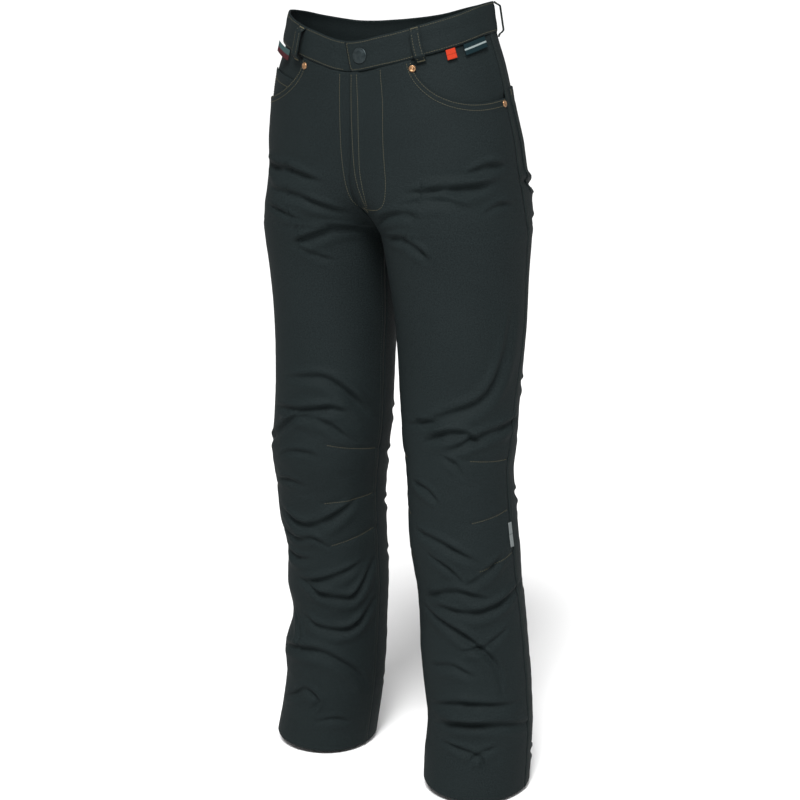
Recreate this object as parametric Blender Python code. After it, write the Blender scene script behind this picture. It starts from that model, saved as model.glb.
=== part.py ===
"""Motorcycle trousers of black cloth, filled out as worn, with no wearer.

Metres, +Z up. The wearer faces -Y, and the wearer's left is +X. The origin is the middle of the waist
opening. Tables and sizes are in millimetres.
"""

import math
from collections import namedtuple

import bmesh
import bpy
import numpy as np
from mathutils import Matrix, Vector

MM = 0.001

# Cloth, seams and trim
CLOTH = 1.5
PATCH = 1.2
SEAM_GAP = 0.3
LAY_GAP = 0.8
POCKET_GAP = 1.2
HEM = 1045.0
BAND_HEIGHT = 39.0
BAND_THICKNESS = 2.6
BAND_START = (-0.007, 0.017)
BAND_UNDERLAP = 32.0
BAND_RISE = 1.3
BAND_SINK = 1.7
FLY_END = 246.0
FLY_SHIFT = 6.0
FLY_UNDERLAP = 10.0
FLY_LIFT = 2.3
LOOP_WIDTH = 13.0
LOOP_THICKNESS = 1.6
LOOP_END = 46.0
LOOP_STANDOFF = 8.4
RIVET_RADIUS = 4.6
SNAP_RADIUS = 10.0

# Positions round a ring run from 0 at the centre front or inseam, by 0.5 at the side seam, to 1 at the back
SCOOP_START = {1: 0.207, -1: 0.16}
SCOOP_END = 0.535
SCOOP_DEPTH = {1: 73.0, -1: 76.0}
SCOOP_COLUMNS = 0.4
LOOPS = {
    "left_front": (0.222, 0.238),
    "left_back": (0.635, 0.635),
    "centre_back": (1.0, 1.0),
    "right_back": (1.365, 1.365),
    "right_front": (1.83, 1.816),
}
BACK_POCKET = (0.575, 0.865, 104.0, 226.0)
FACING_DEPTH = {1: CLOTH + LAY_GAP, -1: CLOTH + PATCH + LAY_GAP + SEAM_GAP}
HEM_LOW = {1: (0.43, 6.0), -1: (0.06, 6.0)}
FACING_REACH = 18.0
COIN_START, COIN_END = 0.17, 0.37
COIN_TOP, COIN_BOTTOM = 73.5, 120.0
# The side seam stands behind the widest point of the hip and thigh; each step is its drops and its move
SEAM_STEPS = ((110, 220, 0.007), (360, 590, -0.032), (640, 860, 0.008))
COIN_DEPTH = CLOTH + LAY_GAP
SNAP = (0.047, 19.5)
RIVETS = {
    (1, "inner"): (0.207, 50.5),
    (1, "outer"): (0.519, 118.0),
    (-1, "inner"): (0.147, 48.5),
    (-1, "outer"): (0.519, 120.5),
}

# Height of the waist's rim on each side, at nine even steps from the centre front to the centre back
RIM = {1: [-26, -16, -3, 9, 20, 22, 18, 10, -2], -1: [-26, -14, -2, 7, 5, -4, -11, -9, -2]}

# One row for each section from the waist to the fork. A drop is measured down from the rim, outer is the
# reach to the side seam, mid the middle of the depth, front and back the reach from mid, and the rises
# are where the centre seams stand.
HipRow = namedtuple("HipRow", "drop outer mid front back rise_front rise_back")
HIPS = [
    HipRow(0.0, 145, -6, 102, 114, -107, 107),
    HipRow(42.0, 154, -7, 105, 123, -111, 116),
    HipRow(80.0, 165, -8, 105, 132, -112, 124),
    HipRow(120.0, 173, -7, 107, 139, -112, 132),
    HipRow(160.0, 180, -5, 109, 142, -111, 135),
    HipRow(200.0, 181, -1, 113, 140, -106, 129),
    HipRow(230.0, 183, 3, 117, 138, -93, 109),
    HipRow(250.0, 185, 4, 117, 134, -70, 84),
    HipRow(263.0, 186, 5, 116, 128, -47, 57),
    HipRow(270.0, 187, 5, 115, 124, -28, 26),
    HipRow(272.5, 187, 5, 114, 122, -12, -12),
]
# How much wider each side stands at those rows; the waist hangs a little towards the wearer's right
HIP_SHIFT = {1: [-9, -8.5, -5.5, -3, -1.5, 0, 0, 0, 0, 0, 0], -1: [0, 1, 5, 4, 2, 0, 0, 0, 0, 0, 0]}

# One row for each section of a leg from the fork to the hem. Centre is how far the leg stands from the
# middle of the body, half its half width, mid the middle of its depth, front and back its reach from mid.
LegRow = namedtuple("LegRow", "drop centre half mid front back")
LEFT_LEG = [
    LegRow(280, 96, 92, 5, 113, 120),
    LegRow(300, 98, 90, 5, 110, 115),
    LegRow(350, 102, 87, 4, 101, 102),
    LegRow(400, 107, 84, 1, 94, 94),
    LegRow(450, 108, 81, -1, 88, 89),
    LegRow(500, 109, 78, -4, 84, 85),
    LegRow(550, 112, 75, -9, 81, 81),
    LegRow(600, 116, 70, -14, 77, 77),
    LegRow(650, 119, 71, -13, 75, 75),
    LegRow(700, 122, 73, -11, 76, 77),
    LegRow(750, 126, 70, -6, 75, 77),
    LegRow(800, 129, 71, 0, 75, 76),
    LegRow(850, 133, 72, 0, 77, 77),
    LegRow(900, 138, 72, 0, 77, 77),
    LegRow(950, 143, 70, 0, 76, 76),
    LegRow(1000, 140, 72, 0, 77, 77),
    LegRow(HEM, 138, 71, 0, 79, 79),
]
RIGHT_LEG = [
    LegRow(280, 96, 92, 5, 113, 120),
    LegRow(300, 97, 90, 5, 109, 114),
    LegRow(350, 96, 86, 3, 99, 101),
    LegRow(400, 95, 83, 0, 91, 93),
    LegRow(450, 95, 81, -3, 86, 88),
    LegRow(500, 95, 81, -5, 84, 84),
    LegRow(550, 97, 82, -6, 83, 83),
    LegRow(600, 102, 81, -7, 82, 82),
    LegRow(650, 106, 76, 0, 77, 77),
    LegRow(700, 106, 74, 4, 75, 75),
    LegRow(750, 102, 69, 9, 73, 73),
    LegRow(800, 105, 71, 14, 74, 74),
    LegRow(850, 105, 66, 19, 70, 70),
    LegRow(900, 115, 71, 22, 75, 75),
    LegRow(950, 118, 69, 24, 74, 74),
    LegRow(1000, 127, 69, 26, 75, 75),
    LegRow(HEM, 136, 70, 27, 76, 76),
]
LEGS = {1: LEFT_LEG, -1: RIGHT_LEG}
FORK = len(HIPS) - 1
FORK_DROP = HIPS[FORK].drop
ARCH = 4 / 3
QUARTER = 0.5523
MIRROR_GAP = 0.2

# The largest folds of the cloth, each a soft trough from one point of the surface to another. Side is 1
# for the wearer's left, bow how far its middle hangs below the straight line, and width its half width.
Fold = namedtuple("Fold", "side start_around start_drop end_around end_drop bow width depth")
FOLDS = [
    Fold(-1, 0.34, 195, 0.08, 206, -4, 11, 4.0),
    Fold(-1, 0.27, 227, 0.03, 250, 0, 11, 4.0),
    Fold(-1, 0.23, 292, 0.04, 278, -8, 11, 4.0),
    Fold(-1, 0.29, 482, 0.04, 538, -14, 12, 4.5),
    Fold(-1, 0.35, 530, 0.14, 522, 0, 11, 5.0),
    Fold(-1, 0.42, 588, 0.26, 548, 0, 11, 3.5),
    Fold(-1, 0.24, 560, 0.08, 578, -6, 11, 3.5),
    Fold(-1, 0.32, 688, 0.09, 668, 14, 12, 5.0),
    Fold(-1, 0.30, 785, 0.07, 757, 8, 11, 4.0),
    Fold(-1, 0.27, 800, 0.01, 770, 34, 11, 5.0),
    Fold(-1, 0.28, 848, 0.01, 820, 24, 12, 4.5),
    Fold(-1, 0.39, 895, 0.03, 952, -20, 12, 4.5),
    Fold(-1, 0.38, 978, 0.18, 966, -12, 11, 3.5),
    Fold(-1, 0.93, 276, 0.60, 262, 10, 13, 4.5),
    Fold(-1, 0.94, 330, 0.66, 346, 0, 14, 3.0),
    Fold(-1, 0.92, 545, 0.60, 560, 8, 12, 5.0),
    Fold(-1, 0.95, 604, 0.62, 596, 8, 12, 5.5),
    Fold(-1, 0.90, 640, 0.58, 652, 6, 12, 5.0),
    Fold(-1, 0.93, 756, 0.64, 780, 10, 12, 4.0),
    Fold(-1, 0.88, 880, 0.60, 868, 8, 13, 4.0),
    Fold(-1, 0.92, 960, 0.66, 972, -6, 12, 3.5),
    Fold(1, 0.18, 214, 0.43, 205, 0, 11, 5.0),
    Fold(1, 0.16, 237, 0.36, 236, -7, 11, 3.0),
    Fold(1, 0.14, 278, 0.28, 291, -6, 11, 3.5),
    Fold(1, 0.49, 380, 0.42, 476, 10, 14, 3.5),
    Fold(1, 0.44, 480, 0.22, 522, 6, 12, 5.0),
    Fold(1, 0.24, 545, 0.41, 542, -10, 11, 4.0),
    Fold(1, 0.56, 520, 0.38, 560, 0, 11, 4.0),
    Fold(1, 0.16, 670, 0.40, 706, -4, 11, 4.0),
    Fold(1, 0.18, 762, 0.40, 752, -10, 11, 3.5),
    Fold(1, 0.23, 775, 0.55, 754, 14, 11, 4.5),
    Fold(1, 0.16, 786, 0.45, 886, -10, 12, 4.5),
    Fold(1, 0.17, 918, 0.48, 913, -6, 11, 5.0),
    Fold(1, 0.18, 950, 0.53, 952, -9, 11, 4.0),
    Fold(1, 0.60, 262, 0.93, 277, 10, 13, 4.5),
    Fold(1, 0.66, 342, 0.94, 328, 0, 14, 3.0),
    Fold(1, 0.60, 552, 0.93, 566, 8, 12, 5.0),
    Fold(1, 0.62, 606, 0.95, 598, 8, 12, 5.5),
    Fold(1, 0.60, 652, 0.90, 664, 6, 12, 5.0),
    Fold(1, 0.64, 766, 0.92, 750, 10, 12, 4.0),
    Fold(1, 0.60, 862, 0.88, 880, 8, 13, 4.0),
    Fold(1, 0.64, 968, 0.92, 958, -6, 12, 3.5),
]
PATTERN_WIDTH = 500.0


def joined_columns(side):
    """Every column of one side's sections, from the rim to the hem, with one value for each row."""
    legs = LEGS[side]
    hips_outer = [row.outer + wider for row, wider in zip(HIPS, HIP_SHIFT[side])]
    return {
        "drop": np.array([row.drop for row in HIPS + legs], float),
        "outer": np.array(hips_outer + [row.centre + row.half for row in legs], float),
        "mid": np.array([row.mid for row in HIPS + legs], float),
        "front": np.array([row.front for row in HIPS + legs], float),
        "back": np.array([row.back for row in HIPS + legs], float),
        "rise_front": np.array([row.rise_front for row in HIPS], float),
        "rise_back": np.array([row.rise_back for row in HIPS], float),
        "inner": np.array([0.0] + [row.centre - row.half for row in legs]),
        "inseam": np.array([HIPS[FORK].rise_back] + [inseam_depth(row) for row in legs], float),
    }


def inseam_depth(row):
    """Where an inseam stands: level with the fork at its top, and in the middle of the leg lower down."""
    return row.mid + (HIPS[FORK].rise_back - HIPS[FORK].mid) * (1 - smooth(FORK_DROP, 430, row.drop))


def follow(values, level):
    """A smooth curve through a list of values; level counts them from 0."""
    values = np.asarray(values, float)
    slope = np.gradient(values)
    row = np.clip(np.floor(level).astype(int), 0, len(values) - 2)
    t = level - row
    return (
        values[row] * (1 - 3 * t**2 + 2 * t**3)
        + values[row + 1] * (3 * t**2 - 2 * t**3)
        + slope[row] * (t - 2 * t**2 + t**3)
        + slope[row + 1] * (t**3 - t**2)
    )


def smooth(low, high, value):
    share = np.clip((value - low) / (high - low), 0, 1)
    return share**2 * (3 - 2 * share)


COLUMNS = {side: joined_columns(side) for side in LEGS}
LEVELS = np.linspace(0, len(HIPS) + len(LEFT_LEG) - 1, 1200)
DROPS = {side: follow(COLUMNS[side]["drop"], LEVELS) for side in LEGS}


def bezier(t, start, start_pull, end_pull, end):
    back = 1 - t
    return back**3 * start + 3 * back**2 * t * start_pull + 3 * back * t**2 * end_pull + t**3 * end


def ring(side, around, level):
    """Points of the garment's outer surface before its folds, in millimetres."""
    table = COLUMNS[side]
    drop, outer, mid = (follow(table[name], level) for name in ("drop", "outer", "mid"))
    below_fork = np.maximum(level - FORK, 0)
    inner = follow(table["inner"], below_fork) + MIRROR_GAP
    inseam = follow(table["inseam"], below_fork)
    halves = []
    for sign, reach_name, rise_name in ((-1, "front", "rise_front"), (1, "back", "rise_back")):
        reach = follow(table[reach_name], level)
        end_y = np.where(level >= FORK, inseam, follow(table[rise_name], np.minimum(level, FORK)))
        spare = np.maximum(reach - sign * (end_y - mid), 0)
        openness = np.clip(spare / reach, 0, 1)
        t = 2 * around if sign < 0 else 2 * (1 - around)
        pull_x = inner + QUARTER * (outer - inner) * (1 - openness)
        start_reach = ARCH * spare**0.7 * reach**0.3
        end_reach = (QUARTER + (ARCH - QUARTER) * openness**0.5) * reach
        halves.append(
            (
                bezier(t, inner, pull_x, outer, outer),
                bezier(t, end_y, end_y + sign * start_reach, mid + sign * end_reach, mid),
            )
        )
    x, y = (np.where(around <= 0.5, front, back) for front, back in zip(*halves))
    heights = [RIM[-side][1], *RIM[side], RIM[-side][-2]]
    rim = follow(heights, 1 + 8 * np.clip(around, 0, 1))
    low, dip = HEM_LOW[side]
    hem = dip * np.cos(2 * np.pi * (around - low)) * smooth(940, HEM, drop)
    return np.stack([side * x, y, rim * (1 - smooth(40, 220, drop)) - drop - hem], -1)


def outward(side, around, level):
    """Unit normals of the surface before its folds, pointing away from the wearer."""
    left, right = np.maximum(around - 0.004, 0), np.minimum(around + 0.004, 1)
    high, low = np.maximum(level - 0.03, 0), np.minimum(level + 0.03, LEVELS[-1])
    across = ring(side, right, level) - ring(side, left, level)
    down = ring(side, around, low) - ring(side, around, high)
    normal = np.cross(down, across) * side
    return normal / np.linalg.norm(normal, axis=-1, keepdims=True)


def folds(side, around, drop):
    """How far the folds move the surface out, in millimetres."""
    lift = np.zeros(np.broadcast(around, drop).shape)
    in_leg = smooth(FORK_DROP, FORK_DROP + 40, drop)
    from_centre = np.minimum(around, 1 - around)
    for fold in FOLDS:
        if fold.side != side:
            continue
        run = (fold.end_around - fold.start_around) * PATTERN_WIDTH
        fall = fold.end_drop - fold.start_drop
        length = math.hypot(run, fall)
        for turn in (-1, 0, 1):
            x = (around + turn - fold.start_around) * PATTERN_WIDTH
            y = drop - fold.start_drop
            along = (x * run + y * fall) / length**2
            bowed = fold.bow * 4 * np.clip(along, 0, 1) * (1 - np.clip(along, 0, 1))
            off = (y * abs(run) - x * fall * np.sign(run)) / length - bowed
            overrun = np.maximum(np.abs(along - 0.5) - 0.5, 0) * length
            fade = smooth(-0.1, 0.25, along) * smooth(1.1, 0.75, along)
            fade = fade * np.exp(-((overrun / fold.width) ** 2))
            q = off / fold.width
            profile = -np.exp(-(q**2)) + 0.45 * np.exp(-((q - 1.9) ** 2)) + 0.45 * np.exp(-((q + 1.9) ** 2))
            lift = lift + fold.depth * fade * profile * (1 if turn == 0 else in_leg)
    return lift * (1 - (1 - smooth(0, 0.06, from_centre)) * (1 - in_leg))


def worn(side, around, drop, out=0.0):
    """Points of the garment in metres: its outer surface, moved out by its folds and by out."""
    around, drop = np.asarray(around, float), np.asarray(drop, float)
    level = np.interp(drop, DROPS[side], LEVELS)
    lift = np.asarray(out + folds(side, around, drop), float)
    return (ring(side, around, level) + outward(side, around, level) * lift[..., None]) * MM


def share_of(side, around, drop, length):
    """How far round a ring a length in millimetres reaches, near one place."""
    level = np.interp(drop, DROPS[side], LEVELS)
    inward = np.where(around > 0.5, -0.004, 0.004)
    step = ring(side, around + inward, level) - ring(side, around, level)
    return length * 0.004 / np.linalg.norm(step, axis=-1)


def side_seam(drop):
    """Position of the side seams at a drop."""
    return SCOOP_END + sum(move * smooth(high, low, drop) for high, low, move in SEAM_STEPS)


def within_seams(side, around, drop, start, end):
    """Squeezes positions between two seams so that each edge keeps its part of the gap."""
    low = start + share_of(side, start + 0 * drop, drop, SEAM_GAP / 2)
    high = end - share_of(side, end + 0 * drop, drop, SEAM_GAP / 2)
    return low + (high - low) * (around - start) / (end - start)


def about_waist(run, drop, out=0.0):
    """Points in metres by a position that runs 0 to 1 over the left side and 1 to 2 back over the right."""
    run = np.asarray(run, float)
    left = worn(1, np.where(run > 1.5, np.clip(run - 2, 0, 1), np.clip(run, 0, 1)), drop, out)
    right = worn(-1, np.where(run < 0.5, np.clip(-run, 0, 1), np.clip(2 - run, 0, 1)), drop, out)
    on_left = ((run >= 0) & (run <= 1)) | (run > 2)
    return np.where(on_left[..., None], left, right)


# Meshes

def new_material(name, colour, roughness, metallic=0.0):
    made = bpy.data.materials.new(name)
    made.use_nodes = True
    shader = made.node_tree.nodes["Principled BSDF"]
    shader.inputs["Base Color"].default_value = (*colour, 1)
    shader.inputs["Roughness"].default_value = roughness
    shader.inputs["Metallic"].default_value = metallic
    return made


def finish(name, bm, finish_material):
    bmesh.ops.recalc_face_normals(bm, faces=bm.faces)
    if bm.calc_volume(signed=True) < 0:
        bmesh.ops.reverse_faces(bm, faces=bm.faces)
    mesh = bpy.data.meshes.new(name)
    bm.to_mesh(mesh)
    bm.free()
    mesh.shade_smooth()
    mesh.set_sharp_from_angle(angle=math.radians(50))
    mesh.materials.append(finish_material)
    made = bpy.data.objects.new(name, mesh)
    bpy.context.scene.collection.objects.link(made)
    return made


def cloth_wall(name, cells, place, inside, outside, finish_material):
    """A grid of cells with two faces. Place turns shares across and down and heights into points."""
    bm = bmesh.new()
    bmesh.ops.create_grid(bm, x_segments=cells[0], y_segments=cells[1], size=0.5)
    grown = bmesh.ops.extrude_face_region(bm, geom=bm.faces[:], use_keep_orig=True)
    inner = {v for v in grown["geom"] if isinstance(v, bmesh.types.BMVert)}
    across = np.array([v.co.x + 0.5 for v in bm.verts])
    down = np.array([v.co.y + 0.5 for v in bm.verts])
    height = np.array([inside if v in inner else outside for v in bm.verts], float)
    for vert, point in zip(bm.verts, place(across, down, height)):
        vert.co = point
    return finish(name, bm, finish_material)


def turned(name, profile, segments, centre, normal, finish_material):
    """A round piece from its radii and heights, from the middle of its base to the middle of its top."""
    bm = bmesh.new()
    rings = []
    for radius, height in profile:
        count = segments if radius else 1
        turns = [2 * math.pi * i / count for i in range(count)]
        rings.append([bm.verts.new((radius * math.cos(a), radius * math.sin(a), height)) for a in turns])
    for low, high in zip(rings, rings[1:]):
        for i in range(segments):
            j = (i + 1) % segments
            corners = [low[i % len(low)], low[j % len(low)], high[j % len(high)], high[i % len(high)]]
            bm.faces.new(list(dict.fromkeys(corners)))
    turn = Vector(normal).to_track_quat("Z", "Y").to_matrix().to_4x4()
    bm.transform(Matrix.Translation(Vector(centre)) @ turn @ Matrix.Scale(MM, 4))
    return finish(name, bm, finish_material)


def seat(side, around, drop, height):
    """The point at a height over one place of the garment, and the way out from it."""
    low, high = (worn(side, np.array([around]), np.array([drop]), h)[0] for h in (height, height + 10))
    return low, high - low


# Panels

ROW_KNOTS = ((0, 0.0), (5, 150.0), (14, FORK_DROP), (19, 420.0), (39, 730.0), (53, HEM))


def row_drops(down, top):
    """Drops of a panel's rows, which crowd together at the seat and the knees."""
    row = down * ROW_KNOTS[-1][0]
    below = np.interp(row, [k[0] for k in ROW_KNOTS[1:]], [k[1] for k in ROW_KNOTS[1:]])
    first = ROW_KNOTS[1]
    return np.where(row < first[0], top + (first[1] - top) * row / first[0], below)


def scoop_drop(side, around):
    """Drop of the edge of a front pocket's scoop."""
    share = np.clip((around - SCOOP_START[side]) / (SCOOP_END - SCOOP_START[side]), 0, 1)
    return BAND_HEIGHT + SEAM_GAP / 2 + SCOOP_DEPTH[side] * np.sqrt(1 - (1 - share) ** 3)


def front_panel(side, name, cloth):
    start = SCOOP_START[side]

    def place(across, down, height):
        plain = start * np.minimum(across / SCOOP_COLUMNS, 1) ** 1.5
        scooped = (SCOOP_END - start) * np.clip((across - SCOOP_COLUMNS) / (1 - SCOOP_COLUMNS), 0, 1) ** 1.4
        at_top = plain + scooped
        drop = row_drops(down, scoop_drop(side, at_top))
        seam = side_seam(drop)
        even = smooth(120, 330, drop)
        around = at_top * seam / SCOOP_END * (1 - even) + across * seam * even
        around = within_seams(side, around, drop, 0, seam)
        near_edge = (1 - smooth(0, 0.12, around)) * (1 - smooth(FLY_END - 80, FLY_END - 26, drop))
        if side == -1:
            return about_waist(2 - around + FLY_UNDERLAP / PATTERN_WIDTH * near_edge, drop, height)
        around = around + FLY_SHIFT / PATTERN_WIDTH * near_edge
        lift = FLY_LIFT * (1 - smooth(0.022, 0.05, around)) * (1 - smooth(FLY_END - 14, FLY_END + 6, drop))
        return worn(1, around, drop, height + lift)

    return cloth_wall(name, (15, ROW_KNOTS[-1][0]), place, -CLOTH, 0, cloth)


def back_panel(side, name, cloth):
    def place(across, down, height):
        drop = row_drops(down, np.full_like(down, BAND_HEIGHT + SEAM_GAP / 2))
        seam = side_seam(drop)
        return worn(side, within_seams(side, seam + (1 - seam) * across, drop, seam, 1), drop, height)

    return cloth_wall(name, (12, ROW_KNOTS[-1][0]), place, -CLOTH, 0, cloth)


def pocket_facing(side, name, cloth):
    """The cloth seen inside a scoop; it runs on under the front panel, held by the waist and side seams."""
    depth = FACING_DEPTH[side]
    start = SCOOP_START[side] - 0.03

    def place(across, down, height):
        around = start + (SCOOP_END - start) * across
        top = BAND_HEIGHT + SEAM_GAP / 2
        drop = top + (scoop_drop(side, around) + FACING_REACH - top) * down
        return worn(side, within_seams(side, around, drop, start, SCOOP_END), drop, height - depth)

    return cloth_wall(name, (10, 6), place, -PATCH, 0, cloth)


def coin_pocket(name, cloth):
    """The small patch pocket on the right facing."""

    def place(across, down, height):
        around = COIN_START + (COIN_END - COIN_START) * across
        return worn(-1, around, COIN_TOP + (COIN_BOTTOM - COIN_TOP) * down, height - COIN_DEPTH)

    return cloth_wall(name, (6, 4), place, -PATCH, 0, cloth)


def back_pocket(side, name, cloth):
    start, end, top, bottom = BACK_POCKET

    def place(across, down, height):
        off = (across - 0.5) * (1 - 0.1 * down)
        low = bottom + 16 * (1 - 2 * np.abs(across - 0.5))
        return worn(side, (start + end) / 2 + (end - start) * off, top + (low - top) * down, height)

    return cloth_wall(name, (9, 9), place, POCKET_GAP, POCKET_GAP + PATCH, cloth)


def waistband(name, cloth):
    """One strip: its slanting left end laps over its right end, which runs on beneath it."""

    def place(across, down, height):
        start = BAND_START[0] + (BAND_START[1] - BAND_START[0]) * down
        end = 2 + share_of(1, np.array(0.0), np.array(20.0), BAND_UNDERLAP)
        run = start + (end - start) * across
        rise = BAND_RISE * (1 - smooth(0.08, 0.14, run)) - BAND_SINK * smooth(1.955, 1.985, run)
        drop = (BAND_HEIGHT - SEAM_GAP / 2) * down
        return about_waist(run, drop, height + rise)

    return cloth_wall(name, (88, 3), place, -BAND_THICKNESS / 2, BAND_THICKNESS / 2, cloth)


def belt_loop(name, run_top, run_foot, cloth):
    """A strip held at both ends, which stands off the waistband between them."""
    side, around = (1, run_top) if run_top <= 1 else (-1, 2 - run_top)
    span = float(share_of(side, np.array(around), np.array(20.0), LOOP_WIDTH))

    def place(across, down, height):
        drop = 0.6 + (LOOP_END - 0.6) * down
        middle = smooth(0, 0.16, down) * (1 - smooth(0.82, 0.99, down))
        on_band = BAND_THICKNESS / 2 + SEAM_GAP
        ends = on_band + (LAY_GAP - on_band) * smooth(0.84, 0.93, down)
        out = ends + (LOOP_STANDOFF - ends) * middle
        run = run_top + (run_foot - run_top) * down
        return about_waist(run + span * (across - 0.5), drop, height + out)

    return cloth_wall(name, (2, 10), place, 0, LOOP_THICKNESS, cloth)


def label(name, side, start, end, top, bottom, rise, place_height, thickness, cells, finish_material):
    """A small tag whose height over the garment changes, and whose far edge rises."""

    def place(across, down, height):
        around = start + (end - start) * across
        drop = top + (bottom - top) * down - rise * across**2
        return worn(side, around, drop, height + place_height(across, down))

    return cloth_wall(name, cells, place, 0, thickness, finish_material)


for startup in list(bpy.data.objects):
    bpy.data.objects.remove(startup)

cloth = new_material("black_cloth", (0.018, 0.02, 0.019), 0.88)
metal = new_material("dark_gunmetal", (0.12, 0.115, 0.11), 0.35, 0.9)
copper = new_material("worn_copper", (0.5, 0.25, 0.14), 0.35, 0.9)
front_panel(1, "front_left", cloth)
front_panel(-1, "front_right", cloth)
back_panel(1, "back_left", cloth)
back_panel(-1, "back_right", cloth)
pocket_facing(1, "pocket_facing_left", cloth)
pocket_facing(-1, "pocket_facing_right", cloth)
coin_pocket("coin_pocket", cloth)
back_pocket(1, "back_pocket_left", cloth)
back_pocket(-1, "back_pocket_right", cloth)
waistband("waistband", cloth)
for place_name, (run_top, run_foot) in LOOPS.items():
    belt_loop("belt_loop_" + place_name, run_top, run_foot, cloth)

SNAP_PROFILE = (
    (0, 0),
    (8.6, 0),
    (SNAP_RADIUS, 0.6),
    (SNAP_RADIUS, 1.7),
    (9.3, 2.5),
    (8.2, 2.5),
    (7.5, 2.0),
    (4.6, 2.7),
    (0, 3.0),
)
centre, out = seat(1, SNAP[0], SNAP[1], BAND_THICKNESS / 2 + BAND_RISE + SEAM_GAP)
turned("snap_button", SNAP_PROFILE, 28, centre, out, metal)
RIVET_PROFILE = (
    (0, 0),
    (RIVET_RADIUS, 0),
    (RIVET_RADIUS, 0.6),
    (3.8, 1.4),
    (2.3, 1.5),
    (1.3, 1.0),
    (0, 0.9),
)
for (side, where), (around, drop) in RIVETS.items():
    centre, out = seat(side, around, drop, SEAM_GAP)
    turned("rivet_" + ("left_" if side == 1 else "right_") + where, RIVET_PROFILE, 16, centre, out, copper)

label(
    "label_dark", 1, 0.39, 0.492, BAND_HEIGHT + 0.4, 53, 0, lambda across, down: 0.4 + 1.2 * down, 0.9,
    (4, 3), new_material("dark_teal_tape", (0.02, 0.035, 0.04), 0.8),
)
label(
    "label_orange", 1, 0.322, 0.356, BAND_HEIGHT + 0.4, 52, 0, lambda across, down: 0.4 + 1.6 * down, 0.9,
    (2, 3), new_material("orange_ribbon", (0.55, 0.11, 0.02), 0.7),
)
label(
    "label_right", -1, 0.238, 0.268, BAND_HEIGHT + 0.4, 53, 8, lambda across, down: 0.4 + 12 * across**1.2,
    0.9, (4, 4), new_material("teal_and_maroon_tape", (0.05, 0.07, 0.08), 0.8),
)
label(
    "label_side", 1, 0.495, 0.509, 662, 696, 0, lambda across, down: SEAM_GAP + 1.4 * across, 0.8,
    (2, 4), new_material("pale_grey_tape", (0.55, 0.55, 0.53), 0.8),
)
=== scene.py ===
"""Looks of the black motorcycle trousers, piece by piece as they are sewn together.

The scene is in metres. Tables and sizes are in millimetres, and MM turns them into metres.
"""

import math
from collections import namedtuple

import bmesh
import bpy
import numpy as np
from mathutils import Matrix, Vector, noise


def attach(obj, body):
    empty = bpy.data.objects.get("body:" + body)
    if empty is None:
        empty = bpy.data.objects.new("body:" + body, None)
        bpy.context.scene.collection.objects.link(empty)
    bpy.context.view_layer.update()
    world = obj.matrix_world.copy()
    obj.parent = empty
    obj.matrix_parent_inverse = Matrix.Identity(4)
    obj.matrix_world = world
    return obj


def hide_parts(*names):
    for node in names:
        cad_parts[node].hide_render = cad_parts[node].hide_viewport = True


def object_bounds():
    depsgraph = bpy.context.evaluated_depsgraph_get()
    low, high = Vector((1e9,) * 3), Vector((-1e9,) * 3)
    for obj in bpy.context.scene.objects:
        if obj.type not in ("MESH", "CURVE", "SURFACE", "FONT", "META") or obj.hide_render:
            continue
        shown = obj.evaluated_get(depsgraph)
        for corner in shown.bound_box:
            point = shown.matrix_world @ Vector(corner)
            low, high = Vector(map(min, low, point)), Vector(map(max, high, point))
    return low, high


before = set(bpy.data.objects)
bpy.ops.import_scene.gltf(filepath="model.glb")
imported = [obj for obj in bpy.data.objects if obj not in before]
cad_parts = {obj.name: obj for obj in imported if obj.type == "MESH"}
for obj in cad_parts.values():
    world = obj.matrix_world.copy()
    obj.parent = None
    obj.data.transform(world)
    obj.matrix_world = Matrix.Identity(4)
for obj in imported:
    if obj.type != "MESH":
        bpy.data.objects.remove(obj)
cad_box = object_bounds()
MM = 0.001

# Front and back panels
# Heavy black cotton twill, cut in four panels as jeans are and felled together at the sides, inseams and
# seat. Filled out as worn, the cloth bunches at the crotch, the knees and above the hems.

CLOTH = 1.3
SEAM_GAP = 0.3
HEM = 1045.0
BAND_HEIGHT = 39.0
FLY_END = 246.0
FLY_SHIFT = 6.0
FLY_UNDERLAP = 10.0
FLY_LIFT = 2.3
SCOOP_START = {1: 0.207, -1: 0.16}
SCOOP_END = 0.535
SCOOP_DEPTH = {1: 73.0, -1: 76.0}
# Share of a front panel's columns that lie before its scoop starts
SCOOP_COLUMNS = 0.4
SCOOP_GAPE = 0.9
# Where round each leg its hem hangs lowest, and by how much
HEM_LOW = {1: (0.43, 6.0), -1: (0.06, 6.0)}
PATTERN_WIDTH = 500.0
# The side seam stands behind the widest point of the hip and thigh; each step is its drops and its move
SEAM_STEPS = ((110, 220, 0.007), (360, 590, -0.032), (640, 860, 0.008))

# Height of the waist's rim at nine even steps from the centre front to the centre back; 1 is the left side
RIM = {1: [-26, -16, -3, 9, 20, 22, 18, 10, -2], -1: [-26, -14, -2, 7, 5, -4, -11, -9, -2]}

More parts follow.
